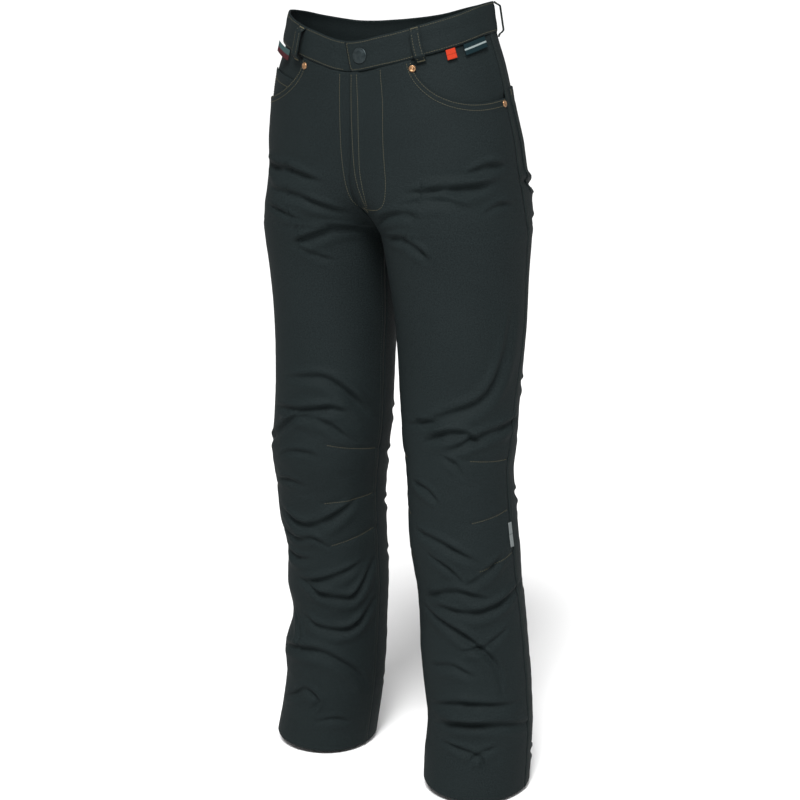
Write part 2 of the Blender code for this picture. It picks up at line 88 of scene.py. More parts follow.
HipRow = namedtuple("HipRow", "drop outer mid front back rise_front rise_back")
HIPS = [
    HipRow(0.0, 145, -6, 102, 114, -107, 107),
    HipRow(42.0, 154, -7, 105, 123, -111, 116),
    HipRow(80.0, 165, -8, 105, 132, -112, 124),
    HipRow(120.0, 173, -7, 107, 139, -112, 132),
    HipRow(160.0, 180, -5, 109, 142, -111, 135),
    HipRow(200.0, 181, -1, 113, 140, -106, 129),
    HipRow(230.0, 183, 3, 117, 138, -93, 109),
    HipRow(250.0, 185, 4, 117, 134, -70, 84),
    HipRow(263.0, 186, 5, 116, 128, -47, 57),
    HipRow(270.0, 187, 5, 115, 124, -28, 26),
    HipRow(272.5, 187, 5, 114, 122, -12, -12),
]
# How much wider each side stands at those rows; the waist hangs a little towards the wearer's right
HIP_SHIFT = {1: [-9, -8.5, -5.5, -3, -1.5, 0, 0, 0, 0, 0, 0], -1: [0, 1, 5, 4, 2, 0, 0, 0, 0, 0, 0]}
LegRow = namedtuple("LegRow", "drop centre half mid front back")
LEFT_LEG = [
    LegRow(280, 96, 92, 5, 113, 120),
    LegRow(300, 98, 90, 5, 110, 115),
    LegRow(350, 102, 87, 4, 101, 102),
    LegRow(400, 107, 84, 1, 94, 94),
    LegRow(450, 108, 81, -1, 88, 89),
    LegRow(500, 109, 78, -4, 84, 85),
    LegRow(550, 112, 75, -9, 81, 81),
    LegRow(600, 116, 70, -14, 77, 77),
    LegRow(650, 119, 71, -13, 75, 75),
    LegRow(700, 122, 73, -11, 76, 77),
    LegRow(750, 126, 70, -6, 75, 77),
    LegRow(800, 129, 71, 0, 75, 76),
    LegRow(850, 133, 72, 0, 77, 77),
    LegRow(900, 138, 72, 0, 77, 77),
    LegRow(950, 143, 70, 0, 76, 76),
    LegRow(1000, 140, 72, 0, 77, 77),
    LegRow(HEM, 138, 71, 0, 79, 79),
]
RIGHT_LEG = [
    LegRow(280, 96, 92, 5, 113, 120),
    LegRow(300, 97, 90, 5, 109, 114),
    LegRow(350, 96, 86, 3, 99, 101),
    LegRow(400, 95, 83, 0, 91, 93),
    LegRow(450, 95, 81, -3, 86, 88),
    LegRow(500, 95, 81, -5, 84, 84),
    LegRow(550, 97, 82, -6, 83, 83),
    LegRow(600, 102, 81, -7, 82, 82),
    LegRow(650, 106, 76, 0, 77, 77),
    LegRow(700, 106, 74, 4, 75, 75),
    LegRow(750, 102, 69, 9, 73, 73),
    LegRow(800, 105, 71, 14, 74, 74),
    LegRow(850, 105, 66, 19, 70, 70),
    LegRow(900, 115, 71, 22, 75, 75),
    LegRow(950, 118, 69, 24, 74, 74),
    LegRow(1000, 127, 69, 26, 75, 75),
    LegRow(HEM, 136, 70, 27, 76, 76),
]
LEGS = {1: LEFT_LEG, -1: RIGHT_LEG}
FORK = len(HIPS) - 1
FORK_DROP = HIPS[FORK].drop
# How far a curve's handles pull: by QUARTER it makes a quarter circle, and by ARCH it stays near a half one
ARCH = 4 / 3
QUARTER = 0.5523
MIRROR_GAP = 0.2

# A crease runs along its places, each a position round the leg and a drop. Depth is how far its trough
# sinks, and upper and lower are the heights of the soft ridges beside it as parts of that depth.
Crease = namedtuple("Crease", "side width depth upper lower places")
CREASES = [
    Crease(-1, 7, 4.8, 0.5, 0.3, [(0.34, 194), (0.25, 197), (0.174, 198), (0.08, 208)]),
    Crease(-1, 6, 3.9, 0.4, 0.3, [(0.27, 226), (0.17, 229), (0.104, 238), (0.024, 252)]),
    Crease(-1, 4.5, 2.8, 0.5, 0.2, [(0.31, 248), (0.24, 252), (0.18, 262)]),
    Crease(-1, 6, 4.1, 0.5, 0.3, [(0.23, 293), (0.196, 288), (0.11, 272), (0.044, 276)]),
    Crease(-1, 4.5, 2.3, 0.4, 0.2, [(0.235, 296), (0.174, 309), (0.13, 318)]),
    Crease(-1, 7, 4.8, 0.5, 0.3, [(0.29, 485), (0.186, 480), (0.132, 493), (0.08, 516), (0.04, 540)]),
    Crease(-1, 6, 5.1, 0.5, 0.3, [(0.35, 532), (0.24, 528), (0.164, 523), (0.12, 527)]),
    Crease(-1, 5.5, 3.7, 0.4, 0.4, [(0.29, 543), (0.23, 538), (0.17, 543), (0.09, 572)]),
    Crease(-1, 6, 3.7, 0.4, 0.3, [(0.42, 589), (0.34, 566), (0.25, 532)]),
    Crease(-1, 4.5, 2.5, 0.4, 0.2, [(0.33, 604), (0.28, 590), (0.22, 588), (0.18, 594)]),
    Crease(-1, 4.5, 2.8, 0.3, 0.3, [(0.36, 640), (0.29, 634), (0.23, 640)]),
    Crease(-1, 7, 5.1, 0.5, 0.3, [(0.34, 684), (0.26, 698), (0.20, 696), (0.14, 682), (0.08, 664)]),
    Crease(-1, 4.5, 3, 0.4, 0.3, [(0.36, 712), (0.29, 722), (0.22, 716), (0.17, 730)]),
    Crease(-1, 5.5, 3.4, 0.3, 0.4, [(0.39, 742), (0.31, 752), (0.24, 750)]),
    Crease(-1, 6, 3.9, 0.5, 0.3, [(0.30, 784), (0.22, 782), (0.15, 772), (0.07, 756)]),
    Crease(-1, 6, 5.1, 0.5, 0.3, [(0.27, 786), (0.21, 799), (0.14, 806), (0.09, 802), (0.022, 757)]),
    Crease(-1, 6, 4.6, 0.5, 0.3, [(0.28, 842), (0.22, 854), (0.12, 856), (0.07, 842), (0.02, 815)]),
    Crease(-1, 4.5, 3, 0.4, 0.3, [(0.36, 838), (0.31, 866), (0.28, 892)]),
    Crease(-1, 7, 4.6, 0.5, 0.3, [(0.40, 900), (0.30, 893), (0.19, 893), (0.086, 920), (0.03, 954)]),
    Crease(-1, 5.5, 3.4, 0.4, 0.3, [(0.37, 980), (0.30, 966), (0.25, 954), (0.20, 969), (0.22, 988)]),
    Crease(-1, 4.5, 2.5, 0.3, 0.3, [(0.20, 1000), (0.13, 994), (0.07, 1003)]),
    Crease(1, 7, 5.5, 0.6, 0.3, [(0.18, 215), (0.25, 211), (0.32, 209), (0.43, 204)]),
    Crease(1, 5.5, 3.4, 0.5, 0.3, [(0.34, 190), (0.41, 183), (0.48, 185)]),
    Crease(1, 6, 3.7, 0.5, 0.3, [(0.16, 231), (0.22, 224), (0.29, 224), (0.35, 233)]),
    Crease(1, 6, 3.7, 0.4, 0.3, [(0.08, 262), (0.13, 246), (0.19, 241), (0.23, 247)]),
    Crease(1, 5.5, 3.4, 0.4, 0.3, [(0.15, 277), (0.21, 274), (0.26, 288), (0.28, 300)]),
    Crease(1, 4.5, 2.5, 0.4, 0.2, [(0.40, 242), (0.45, 232), (0.50, 236)]),
    Crease(1, 7.5, 4.1, 0.5, 0.3, [(0.485, 372), (0.46, 440), (0.41, 485), (0.31, 506), (0.23, 521)]),
    Crease(1, 6, 4.6, 0.6, 0.3, [(0.24, 546), (0.30, 531), (0.36, 531), (0.40, 542)]),
    Crease(1, 6, 4.1, 0.4, 0.4, [(0.54, 522), (0.46, 530), (0.39, 538), (0.30, 556)]),
    Crease(1, 4.5, 2.8, 0.4, 0.3, [(0.17, 528), (0.23, 520), (0.29, 516)]),
    Crease(1, 4.5, 2.5, 0.3, 0.3, [(0.29, 560), (0.335, 572), (0.36, 588)]),
    Crease(1, 5.5, 3.2, 0.3, 0.4, [(0.17, 602), (0.235, 610), (0.27, 624)]),
    Crease(1, 6, 3.9, 0.5, 0.3, [(0.18, 671), (0.25, 678), (0.31, 689), (0.38, 706)]),
    Crease(1, 4.5, 2.8, 0.4, 0.3, [(0.22, 700), (0.29, 716), (0.33, 736)]),
    Crease(1, 5.5, 3, 0.3, 0.4, [(0.47, 700), (0.41, 722), (0.34, 740)]),
    Crease(1, 6, 3.9, 0.5, 0.3, [(0.19, 765), (0.25, 754), (0.32, 749), (0.40, 760)]),
    Crease(1, 6, 4.6, 0.5, 0.3, [(0.24, 772), (0.33, 779), (0.42, 773), (0.54, 752)]),
    Crease(1, 6, 4.4, 0.5, 0.3, [(0.17, 780), (0.25, 797), (0.33, 816), (0.41, 852), (0.43, 896)]),
    Crease(1, 4.5, 2.8, 0.4, 0.3, [(0.30, 834), (0.38, 826), (0.46, 806)]),
    Crease(1, 5.5, 2.8, 0.4, 0.3, [(0.19, 862), (0.27, 856), (0.34, 868)]),
    Crease(1, 7, 5.5, 0.3, 0.6, [(0.18, 919), (0.26, 911), (0.34, 909), (0.48, 915)]),
    Crease(1, 6, 4.6, 0.6, 0.3, [(0.19, 946), (0.26, 937), (0.345, 935), (0.43, 940), (0.52, 951)]),
    Crease(1, 4.5, 3.2, 0.4, 0.3, [(0.21, 968), (0.29, 973), (0.35, 982), (0.37, 1004)]),
    Crease(1, 4.5, 2.5, 0.4, 0.3, [(0.40, 968), (0.34, 978), (0.31, 992)]),
    Crease(-1, 7.5, 5.1, 0.5, 0.4, [(0.93, 274), (0.83, 281), (0.70, 276), (0.60, 262)]),
    Crease(-1, 6, 3.4, 0.4, 0.4, [(0.90, 302), (0.82, 309), (0.74, 304)]),
    Crease(-1, 7, 3.4, 0.4, 0.3, [(0.94, 328), (0.82, 338), (0.66, 348)]),
    Crease(-1, 6, 3.2, 0.5, 0.3, [(0.56, 214), (0.64, 222), (0.72, 220)]),
    Crease(-1, 5.5, 3, 0.4, 0.3, [(0.97, 186), (0.90, 205), (0.84, 230)]),
    Crease(-1, 6, 3.4, 0.4, 0.3, [(0.55, 498), (0.64, 512), (0.74, 508)]),
    Crease(-1, 7, 5.5, 0.5, 0.4, [(0.92, 544), (0.83, 555), (0.71, 560), (0.60, 556)]),
    Crease(-1, 7, 5.8, 0.5, 0.4, [(0.95, 603), (0.84, 612), (0.72, 604), (0.62, 594)]),
    Crease(-1, 5.5, 3.7, 0.4, 0.4, [(0.80, 578), (0.73, 584), (0.66, 576)]),
    Crease(-1, 7, 5.3, 0.5, 0.4, [(0.90, 640), (0.79, 648), (0.68, 656), (0.58, 650)]),
    Crease(-1, 5.5, 3.4, 0.4, 0.4, [(0.95, 676), (0.87, 684), (0.79, 680)]),
    Crease(-1, 6, 4.1, 0.4, 0.4, [(0.93, 755), (0.82, 770), (0.73, 782), (0.64, 780)]),
    Crease(-1, 4.5, 3, 0.4, 0.3, [(0.60, 716), (0.68, 722), (0.76, 716)]),
    Crease(-1, 6, 4.1, 0.4, 0.4, [(0.88, 878), (0.79, 888), (0.69, 880), (0.60, 868)]),
    Crease(-1, 5.5, 3.2, 0.4, 0.3, [(0.62, 830), (0.70, 838), (0.80, 830)]),
    Crease(-1, 6, 3.9, 0.4, 0.4, [(0.92, 958), (0.82, 966), (0.74, 974), (0.66, 970)]),
    Crease(-1, 4.5, 2.8, 0.4, 0.3, [(0.56, 936), (0.63, 928), (0.70, 936)]),
    Crease(-1, 4.5, 2.8, 0.4, 0.3, [(0.86, 1000), (0.79, 1006), (0.72, 1000)]),
    Crease(1, 7.5, 5.1, 0.5, 0.4, [(0.60, 264), (0.70, 278), (0.82, 284), (0.93, 275)]),
    Crease(1, 6, 3.4, 0.4, 0.4, [(0.72, 306), (0.80, 313), (0.90, 305)]),
    Crease(1, 7, 3.4, 0.4, 0.3, [(0.66, 343), (0.80, 340), (0.94, 327)]),
    Crease(1, 6, 3.4, 0.5, 0.3, [(0.54, 206), (0.62, 214), (0.70, 226)]),
    Crease(1, 5.5, 3, 0.4, 0.3, [(0.97, 190), (0.91, 212), (0.86, 236)]),
    Crease(1, 6, 3.4, 0.4, 0.3, [(0.56, 476), (0.66, 492), (0.76, 500)]),
    Crease(1, 7, 5.5, 0.5, 0.4, [(0.60, 550), (0.71, 560), (0.82, 568), (0.93, 566)]),
    Crease(1, 7, 5.8, 0.5, 0.4, [(0.62, 606), (0.72, 614), (0.84, 610), (0.95, 597)]),
    Crease(1, 5.5, 3.7, 0.4, 0.4, [(0.66, 582), (0.74, 590), (0.80, 584)]),
    Crease(1, 7, 5.3, 0.5, 0.4, [(0.60, 650), (0.70, 660), (0.80, 666), (0.90, 662)]),
    Crease(1, 5.5, 3.4, 0.4, 0.4, [(0.57, 628), (0.63, 636), (0.69, 630)]),
    Crease(1, 6, 4.1, 0.4, 0.4, [(0.60, 764), (0.72, 775), (0.82, 766), (0.92, 750)]),
    Crease(1, 4.5, 3, 0.4, 0.3, [(0.70, 712), (0.78, 706), (0.86, 714)]),
    Crease(1, 6, 4.1, 0.4, 0.4, [(0.60, 862), (0.70, 872), (0.80, 884), (0.88, 880)]),
    Crease(1, 5.5, 3.2, 0.4, 0.3, [(0.78, 822), (0.85, 830), (0.94, 822)]),
    Crease(1, 6, 3.9, 0.4, 0.4, [(0.64, 968), (0.74, 974), (0.84, 968), (0.92, 958)]),
    Crease(1, 4.5, 2.8, 0.4, 0.3, [(0.56, 1000), (0.63, 1006), (0.72, 998)]),
]
# Three darts at each side of a knee take in the cloth, so that the leg bends; each runs in from a seam
DARTS = {
    (-1, "inseam"): [((0.0, 589), (0.176, 575)), ((0.0, 656), (0.184, 665)), ((0.0, 707), (0.174, 729))],
    (-1, "side"): [((0.51, 578), (0.37, 569)), ((0.51, 646), (0.364, 655)), ((0.51, 704), (0.376, 722))],
    (1, "side"): [((0.51, 576), (0.366, 567)), ((0.51, 644), (0.362, 654)), ((0.51, 704), (0.372, 722))],
    (1, "inseam"): [((0.0, 577), (0.152, 575)), ((0.0, 640), (0.146, 655)), ((0.0, 700), (0.15, 716))],
}
DART_WIDTH = 3.2
DART_DEPTH = 1.1
# A crease's trough drops steeply from above and runs out gently below, in parts of its width
STEEP_SIDE, GENTLE_SIDE = 0.44, 1.05
RIDGES = 1.7


def joined_columns(side):
    """Every column of one side's sections, from the rim to the hem, with one value for each row."""
    legs = LEGS[side]
    hips_outer = [row.outer + wider for row, wider in zip(HIPS, HIP_SHIFT[side])]
    return {
        "drop": np.array([row.drop for row in HIPS + legs], float),
        "outer": np.array(hips_outer + [row.centre + row.half for row in legs], float),
        "mid": np.array([row.mid for row in HIPS + legs], float),
        "front": np.array([row.front for row in HIPS + legs], float),
        "back": np.array([row.back for row in HIPS + legs], float),
        "rise_front": np.array([row.rise_front for row in HIPS], float),
        "rise_back": np.array([row.rise_back for row in HIPS], float),
        "inner": np.array([0.0] + [row.centre - row.half for row in legs]),
        "inseam": np.array([HIPS[FORK].rise_back] + [inseam_depth(row) for row in legs], float),
    }


def inseam_depth(row):
    """Where an inseam stands: level with the fork at its top, and in the middle of the leg lower down."""
    return row.mid + (HIPS[FORK].rise_back - HIPS[FORK].mid) * (1 - smooth(FORK_DROP, 430, row.drop))


def follow(values, level):
    """A smooth curve through a list of values; level counts them from 0."""
    values = np.asarray(values, float)
    slope = np.gradient(values, axis=0)
    row = np.clip(np.floor(level).astype(int), 0, len(values) - 2)
    t = level - row
    if values.ndim > 1:
        t = t[:, None]
    return (
        values[row] * (1 - 3 * t**2 + 2 * t**3)
        + values[row + 1] * (3 * t**2 - 2 * t**3)
        + slope[row] * (t - 2 * t**2 + t**3)
        + slope[row + 1] * (t**3 - t**2)
    )


def smooth(low, high, value):
    share = np.clip((value - low) / (high - low), 0, 1)
    return share**2 * (3 - 2 * share)


COLUMNS = {side: joined_columns(side) for side in LEGS}
LEVELS = np.linspace(0, len(HIPS) + len(LEFT_LEG) - 1, 1200)
DROPS = {side: follow(COLUMNS[side]["drop"], LEVELS) for side in LEGS}


def bezier(t, start, start_pull, end_pull, end):
    back = 1 - t
    return back**3 * start + 3 * back**2 * t * start_pull + 3 * back * t**2 * end_pull + t**3 * end


def ring(side, around, level):
    """Points of the garment's outer surface before its creases, in millimetres."""
    table = COLUMNS[side]
    drop, outer, mid = (follow(table[name], level) for name in ("drop", "outer", "mid"))
    below_fork = np.maximum(level - FORK, 0)
    inner = follow(table["inner"], below_fork) + MIRROR_GAP
    inseam = follow(table["inseam"], below_fork)
    halves = []
    for sign, reach_name, rise_name in ((-1, "front", "rise_front"), (1, "back", "rise_back")):
        reach = follow(table[reach_name], level)
        end_y = np.where(level >= FORK, inseam, follow(table[rise_name], np.minimum(level, FORK)))
        spare = np.maximum(reach - sign * (end_y - mid), 0)
        openness = np.clip(spare / reach, 0, 1)
        t = 2 * around if sign < 0 else 2 * (1 - around)
        pull_x = inner + QUARTER * (outer - inner) * (1 - openness)
        start_reach = ARCH * spare**0.7 * reach**0.3
        end_reach = (QUARTER + (ARCH - QUARTER) * openness**0.5) * reach
        halves.append(
            (
                bezier(t, inner, pull_x, outer, outer),
                bezier(t, end_y, end_y + sign * start_reach, mid + sign * end_reach, mid),
            )
        )
    x, y = (np.where(around <= 0.5, front, back) for front, back in zip(*halves))
    heights = [RIM[-side][1], *RIM[side], RIM[-side][-2]]
    rim = follow(heights, 1 + 8 * np.clip(around, 0, 1))
    low, dip = HEM_LOW[side]
    hem = dip * np.cos(2 * np.pi * (around - low)) * smooth(940, HEM, drop)
    return np.stack([side * x, y, rim * (1 - smooth(40, 220, drop)) - drop - hem], -1)


def outward(side, around, level):
    """Unit normals of the surface before its creases, pointing away from the wearer."""
    left, right = np.maximum(around - 0.004, 0), np.minimum(around + 0.004, 1)
    high, low = np.maximum(level - 0.03, 0), np.minimum(level + 0.03, LEVELS[-1])
    across = ring(side, right, level) - ring(side, left, level)
    down = ring(side, around, low) - ring(side, around, high)
    normal = np.cross(down, across) * side
    return normal / np.linalg.norm(normal, axis=-1, keepdims=True)


def along_line(line, u, v):
    """For each place, the nearest share of a line's length, how far it lies below it, and past its ends."""
    step = np.gradient(line, axis=0)
    step /= np.linalg.norm(step, axis=1, keepdims=True)
    gaps = (u[:, None] - line[None, :, 0]) ** 2 + (v[:, None] - line[None, :, 1]) ** 2
    near = gaps.argmin(axis=1)
    away = np.stack([u, v], -1) - line[near]
    below = away[:, 1] * step[near, 0] - away[:, 0] * step[near, 1]
    if line[-1, 0] < line[0, 0]:
        below = -below
    at_end = (near == 0) | (near == len(line) - 1)
    past = np.where(at_end, np.abs((away * step[near]).sum(axis=1)), 0)
    return near / (len(line) - 1), below, past


def crease_lift(side, around, drop):
    """How far the creases and darts move the surface out, in millimetres."""
    shape = np.broadcast(around, drop).shape
    u = np.broadcast_to(around * PATTERN_WIDTH, shape).ravel()
    v = np.broadcast_to(drop, shape).ravel()
    lift = np.zeros(len(u))
    darts = [(line, True) for (dart_side, _), lines in DARTS.items() if dart_side == side for line in lines]
    folds = [(crease, False) for crease in CREASES if crease.side == side]
    for index, (item, is_dart) in enumerate(folds + darts):
        places = np.array(item if is_dart else item.places, float) * (PATTERN_WIDTH, 1)
        width = DART_WIDTH if is_dart else item.width
        line = follow(places, np.linspace(0, len(places) - 1, 12 * len(places)))
        reach = 4 * width
        for turn in (-PATTERN_WIDTH, 0, PATTERN_WIDTH):
            low, high = line.min(axis=0) - reach, line.max(axis=0) + reach
            inside = (u + turn > low[0]) & (u + turn < high[0]) & (v > low[1]) & (v < high[1])
            chosen = np.nonzero(inside & ((turn == 0) | (v > FORK_DROP)))[0]
            if not len(chosen):
                continue
            along, below, past = along_line(line, u[chosen] + turn, v[chosen])
            fade = np.exp(-((past / (0.7 * width)) ** 2))
            if is_dart:
                lift[chosen] -= DART_DEPTH * fade * np.exp(-((below / width) ** 2))
                continue
            fade = fade * smooth(-0.12, 0.3, along) * smooth(1.12, 0.7, along)
            uneven = 1 + 0.22 * np.sin(9 * along + 1.7 * index) + 0.1 * np.sin(23 * along + index)
            q = below / (width * (0.82 + 0.3 * np.sin(np.pi * along)))
            trough = np.exp(-((q / np.where(q < 0, STEEP_SIDE, GENTLE_SIDE)) ** 2))
            ridge_above = item.upper * np.exp(-(((q + 1.15) / 0.75) ** 2))
            ridge_below = item.lower * np.exp(-((q - 2.1) ** 2))
            lift[chosen] += item.depth * uneven * fade * (RIDGES * (ridge_above + ridge_below) - trough)
    return lift.reshape(shape)


# Small dents and swells of handled cloth in two layers, each with its height, its spans across and down,
# and a shift that keeps it apart from the other
SWELLS = ((0.6, 46, 30, 0.0), (0.32, 17, 12, 5.3))
# Where the cloth bunches, each with its drop, its spread and how much it adds to the least unevenness
BUNCHED = ((560, 100, 0.9), (660, 110, 0.7), (800, 90, 0.8), (930, 80, 0.9), (215, 60, 0.4))
LEAST_UNEVEN = 0.35


def swell(side, around, drop):
    """Soft unevenness of the cloth, strongest where it bunches."""
    shape = np.broadcast(around, drop).shape
    turn = 2 * np.pi * np.broadcast_to(around, shape).ravel()
    v = np.broadcast_to(drop, shape).ravel()
    bunches = (more * np.exp(-(((v - centre) / spread) ** 2)) for centre, spread, more in BUNCHED)
    strength = LEAST_UNEVEN + sum(bunches)
    lift = np.zeros(len(turn))
    for height, across, down, seed in SWELLS:
        radius = PATTERN_WIDTH / (2 * np.pi) / across
        x, y, z = radius * np.cos(turn), radius * np.sin(turn), v / down + 40 * side + seed
        lift += height * np.array([noise.noise(place) for place in zip(x.tolist(), y.tolist(), z.tolist())])
    return (lift * strength * smooth(60, 190, v)).reshape(shape)


def worn(side, around, drop, out=0.0, rough=True):
    """Points of the garment in metres: its outer surface, moved out by its creases and by out."""
    around, drop = np.asarray(around, float), np.asarray(drop, float)
    level = np.interp(drop, DROPS[side], LEVELS)
    from_centre = np.minimum(around, 1 - around)
    in_leg = smooth(FORK_DROP, FORK_DROP + 40, drop)
    held = 1 - (1 - smooth(0, 0.06, from_centre)) * (1 - in_leg)
    lift = crease_lift(side, around, drop) * held
    if rough:
        lift = lift + swell(side, around, drop)
    lift = np.asarray(lift + out, float)
    return (ring(side, around, level) + outward(side, around, level) * lift[..., None]) * MM


def share_of(side, around, drop, length):
    """How far round a ring a length in millimetres reaches, near one place."""
    level = np.interp(drop, DROPS[side], LEVELS)
    inward = np.where(around > 0.5, -0.004, 0.004)
    step = ring(side, around + inward, level) - ring(side, around, level)
    return length * 0.004 / np.linalg.norm(step, axis=-1)


def side_seam(drop):
    """Position of the side seams at a drop."""
    return SCOOP_END + sum(move * smooth(high, low, drop) for high, low, move in SEAM_STEPS)


def within_seams(side, around, drop, start, end):
    """Squeezes positions between two seams so that each edge keeps its part of the gap."""
    low = start + share_of(side, start + 0 * drop, drop, SEAM_GAP / 2)
    high = end - share_of(side, end + 0 * drop, drop, SEAM_GAP / 2)
    return low + (high - low) * (around - start) / (end - start)


def about_waist(run, drop, out=0.0):
    """Points in metres by a position that runs 0 to 1 over the left side and 1 to 2 back over the right."""
    run = np.asarray(run, float)
    left = worn(1, np.where(run > 1.5, np.clip(run - 2, 0, 1), np.clip(run, 0, 1)), drop, out)
    right = worn(-1, np.where(run < 0.5, np.clip(-run, 0, 1), np.clip(2 - run, 0, 1)), drop, out)
    on_left = ((run >= 0) & (run <= 1)) | (run > 2)
    return np.where(on_left[..., None], left, right)


def shown(bm, name, finish):
    """The smooth object of a finished bmesh."""
    mesh = bpy.data.meshes.new(name)
    bm.to_mesh(mesh)
    bm.free()
    mesh.shade_smooth()
    mesh.materials.append(finish)
    piece = bpy.data.objects.new(name, mesh)
    bpy.context.scene.collection.objects.link(piece)
    return piece


def finished(piece, node):
    """The piece, now standing for its node."""
    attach(piece, "root")
    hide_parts(node)
    return piece


def cloth_sheet(name, cells, place, thickness, finish, turned_over):
    """A grid of cloth laid by place, which turns shares across and down into points and pattern places."""
    bm = bmesh.new()
    bmesh.ops.create_grid(bm, x_segments=cells[0], y_segments=cells[1], size=0.5)
    across = np.array([v.co.x + 0.5 for v in bm.verts])
    down = np.array([v.co.y + 0.5 for v in bm.verts])
    points, pattern = place(across, down)
    for vert, point in zip(bm.verts, points):
        vert.co = point
    if turned_over:
        bmesh.ops.reverse_faces(bm, faces=bm.faces)
    piece = shown(bm, name, finish)
    corners = np.empty(len(piece.data.loops), np.int32)
    piece.data.loops.foreach_get("vertex_index", corners)
    laid_out = (pattern[corners] * MM).astype(np.float32)
    piece.data.uv_layers.new(name="weave").uv.foreach_set("vector", laid_out.ravel())
    wall = piece.modifiers.new("Thickness", "SOLIDIFY")
    wall.thickness = thickness * MM
    wall.offset = -1
    return piece


def wire(tree, start, end):
    """Joins two sockets, each given as a node and the name or number of its socket."""
    tree.links.new(start[0].outputs[start[1]], end[0].inputs[end[1]])


def woven(name, colour, lighter, roughness, weave_pitch, relief, rib=0.0):
    """A woven finish: slanting weave ribs on the pattern, fibre grain, and colour that drifts a little."""
    made = bpy.data.materials.new(name)
    made.use_nodes = True
    tree = made.node_tree
    shader = tree.nodes["Principled BSDF"]
    shader.inputs["Roughness"].default_value = roughness
    shader.inputs["Specular IOR Level"].default_value = 0.035
    pattern = tree.nodes.new("ShaderNodeTexCoord")
    slant = tree.nodes.new("ShaderNodeMapping")
    slant.inputs["Rotation"].default_value = (0, 0, math.radians(rib))
    wire(tree, (pattern, "UV"), (slant, "Vector"))
    ribs = tree.nodes.new("ShaderNodeTexWave")
    ribs.wave_type = "BANDS"
    ribs.bands_direction = "X"
    ribs.inputs["Scale"].default_value = 2 * math.pi / (20 * weave_pitch * MM)
    ribs.inputs["Distortion"].default_value = 1.2
    ribs.inputs["Detail"].default_value = 1.0
    ribs.inputs["Detail Scale"].default_value = 1.5
    wire(tree, (slant, "Vector"), (ribs, "Vector"))
    grain = tree.nodes.new("ShaderNodeTexNoise")
    grain.inputs["Scale"].default_value = 0.5 / (weave_pitch * MM)
    grain.inputs["Detail"].default_value = 2.0
    wire(tree, (pattern, "UV"), (grain, "Vector"))
    drift = tree.nodes.new("ShaderNodeTexNoise")
    drift.inputs["Scale"].default_value = 14.0
    drift.inputs["Detail"].default_value = 4.0
    wire(tree, (pattern, "Object"), (drift, "Vector"))
    surface = tree.nodes.new("ShaderNodeMath")
    surface.operation = "MULTIPLY_ADD"
    surface.inputs[1].default_value = 0.5
    wire(tree, (ribs, "Fac"), (surface, 0))
    wire(tree, (grain, "Fac"), (surface, 2))
    tone = tree.nodes.new("ShaderNodeMath")
    tone.operation = "MULTIPLY_ADD"
    tone.inputs[1].default_value = 0.12
    wire(tree, (drift, "Fac"), (tone, 0))
    wire(tree, (surface, 0), (tone, 2))
    shades = tree.nodes.new("ShaderNodeValToRGB")
    shades.color_ramp.elements[0].position = 0.6
    shades.color_ramp.elements[0].color = (*colour, 1)
    shades.color_ramp.elements[1].position = 1.0
    shades.color_ramp.elements[1].color = (*lighter, 1)
    wire(tree, (tone, 0), (shades, "Fac"))
    wire(tree, (shades, "Color"), (shader, "Base Color"))
    raised = tree.nodes.new("ShaderNodeBump")
    raised.inputs["Strength"].default_value = 1.0
    raised.inputs["Distance"].default_value = relief * MM
    wire(tree, (surface, 0), (raised, "Height"))
    wire(tree, (raised, "Normal"), (shader, "Normal"))
    return made


TWILL_DARK, TWILL_LIGHT = (0.0034, 0.0052, 0.0055), (0.0125, 0.0172, 0.0178)
twill = woven("black_twill", TWILL_DARK, TWILL_LIGHT, roughness=0.7, weave_pitch=0.9, relief=0.05, rib=38)

FRONT_CELLS = (98, 480)
BACK_CELLS = (80, 400)
FELL_WIDTH = 7.0
FELL_HEIGHT = 0.55


def scoop_drop(side, around):
    """Drop of the edge of a front pocket's scoop."""
    share = np.clip((around - SCOOP_START[side]) / (SCOOP_END - SCOOP_START[side]), 0, 1)
    return BAND_HEIGHT + SEAM_GAP / 2 + SCOOP_DEPTH[side] * np.sqrt(1 - (1 - share) ** 3)


def rolled(distance, radius=1.0, depth=0.3):
    """How far an edge turns in towards its seam, by the distance from it."""
    share = np.clip(distance / radius, 0, 1)
    return depth * (np.sqrt(1 - (1 - share) ** 2) - 1)


def felled(distance):
    """The low ridge of a flat felled seam, by the distance from it."""
    return FELL_HEIGHT * (1 - smooth(FELL_WIDTH - 1.5, FELL_WIDTH + 1.5, distance))


def panel_out(around, drop, is_front):
    """Relief of a panel's edges: felled and rolled seams, and the doubled hem."""
    from_side = np.abs(around - side_seam(drop)) * PATTERN_WIDTH
    from_middle = np.minimum(around, 1 - around) * PATTERN_WIDTH
    out = rolled(from_side) + rolled(from_middle) + rolled(HEM - drop, 3.0, 1.2)
    if is_front:
        return out + felled(from_middle) * smooth(FORK_DROP, FORK_DROP + 30, drop)
    return out + felled(from_side) + felled(from_middle) * (1 - smooth(FORK_DROP - 30, FORK_DROP, drop))


def over_fly(around, drop, out):
    """Points over the left front panel, which lies a little higher where it laps over the right one."""
    lift = FLY_LIFT * (1 - smooth(0.022, 0.05, around)) * (1 - smooth(FLY_END - 14, FLY_END + 6, drop))
    return worn(1, around, drop, out + lift)


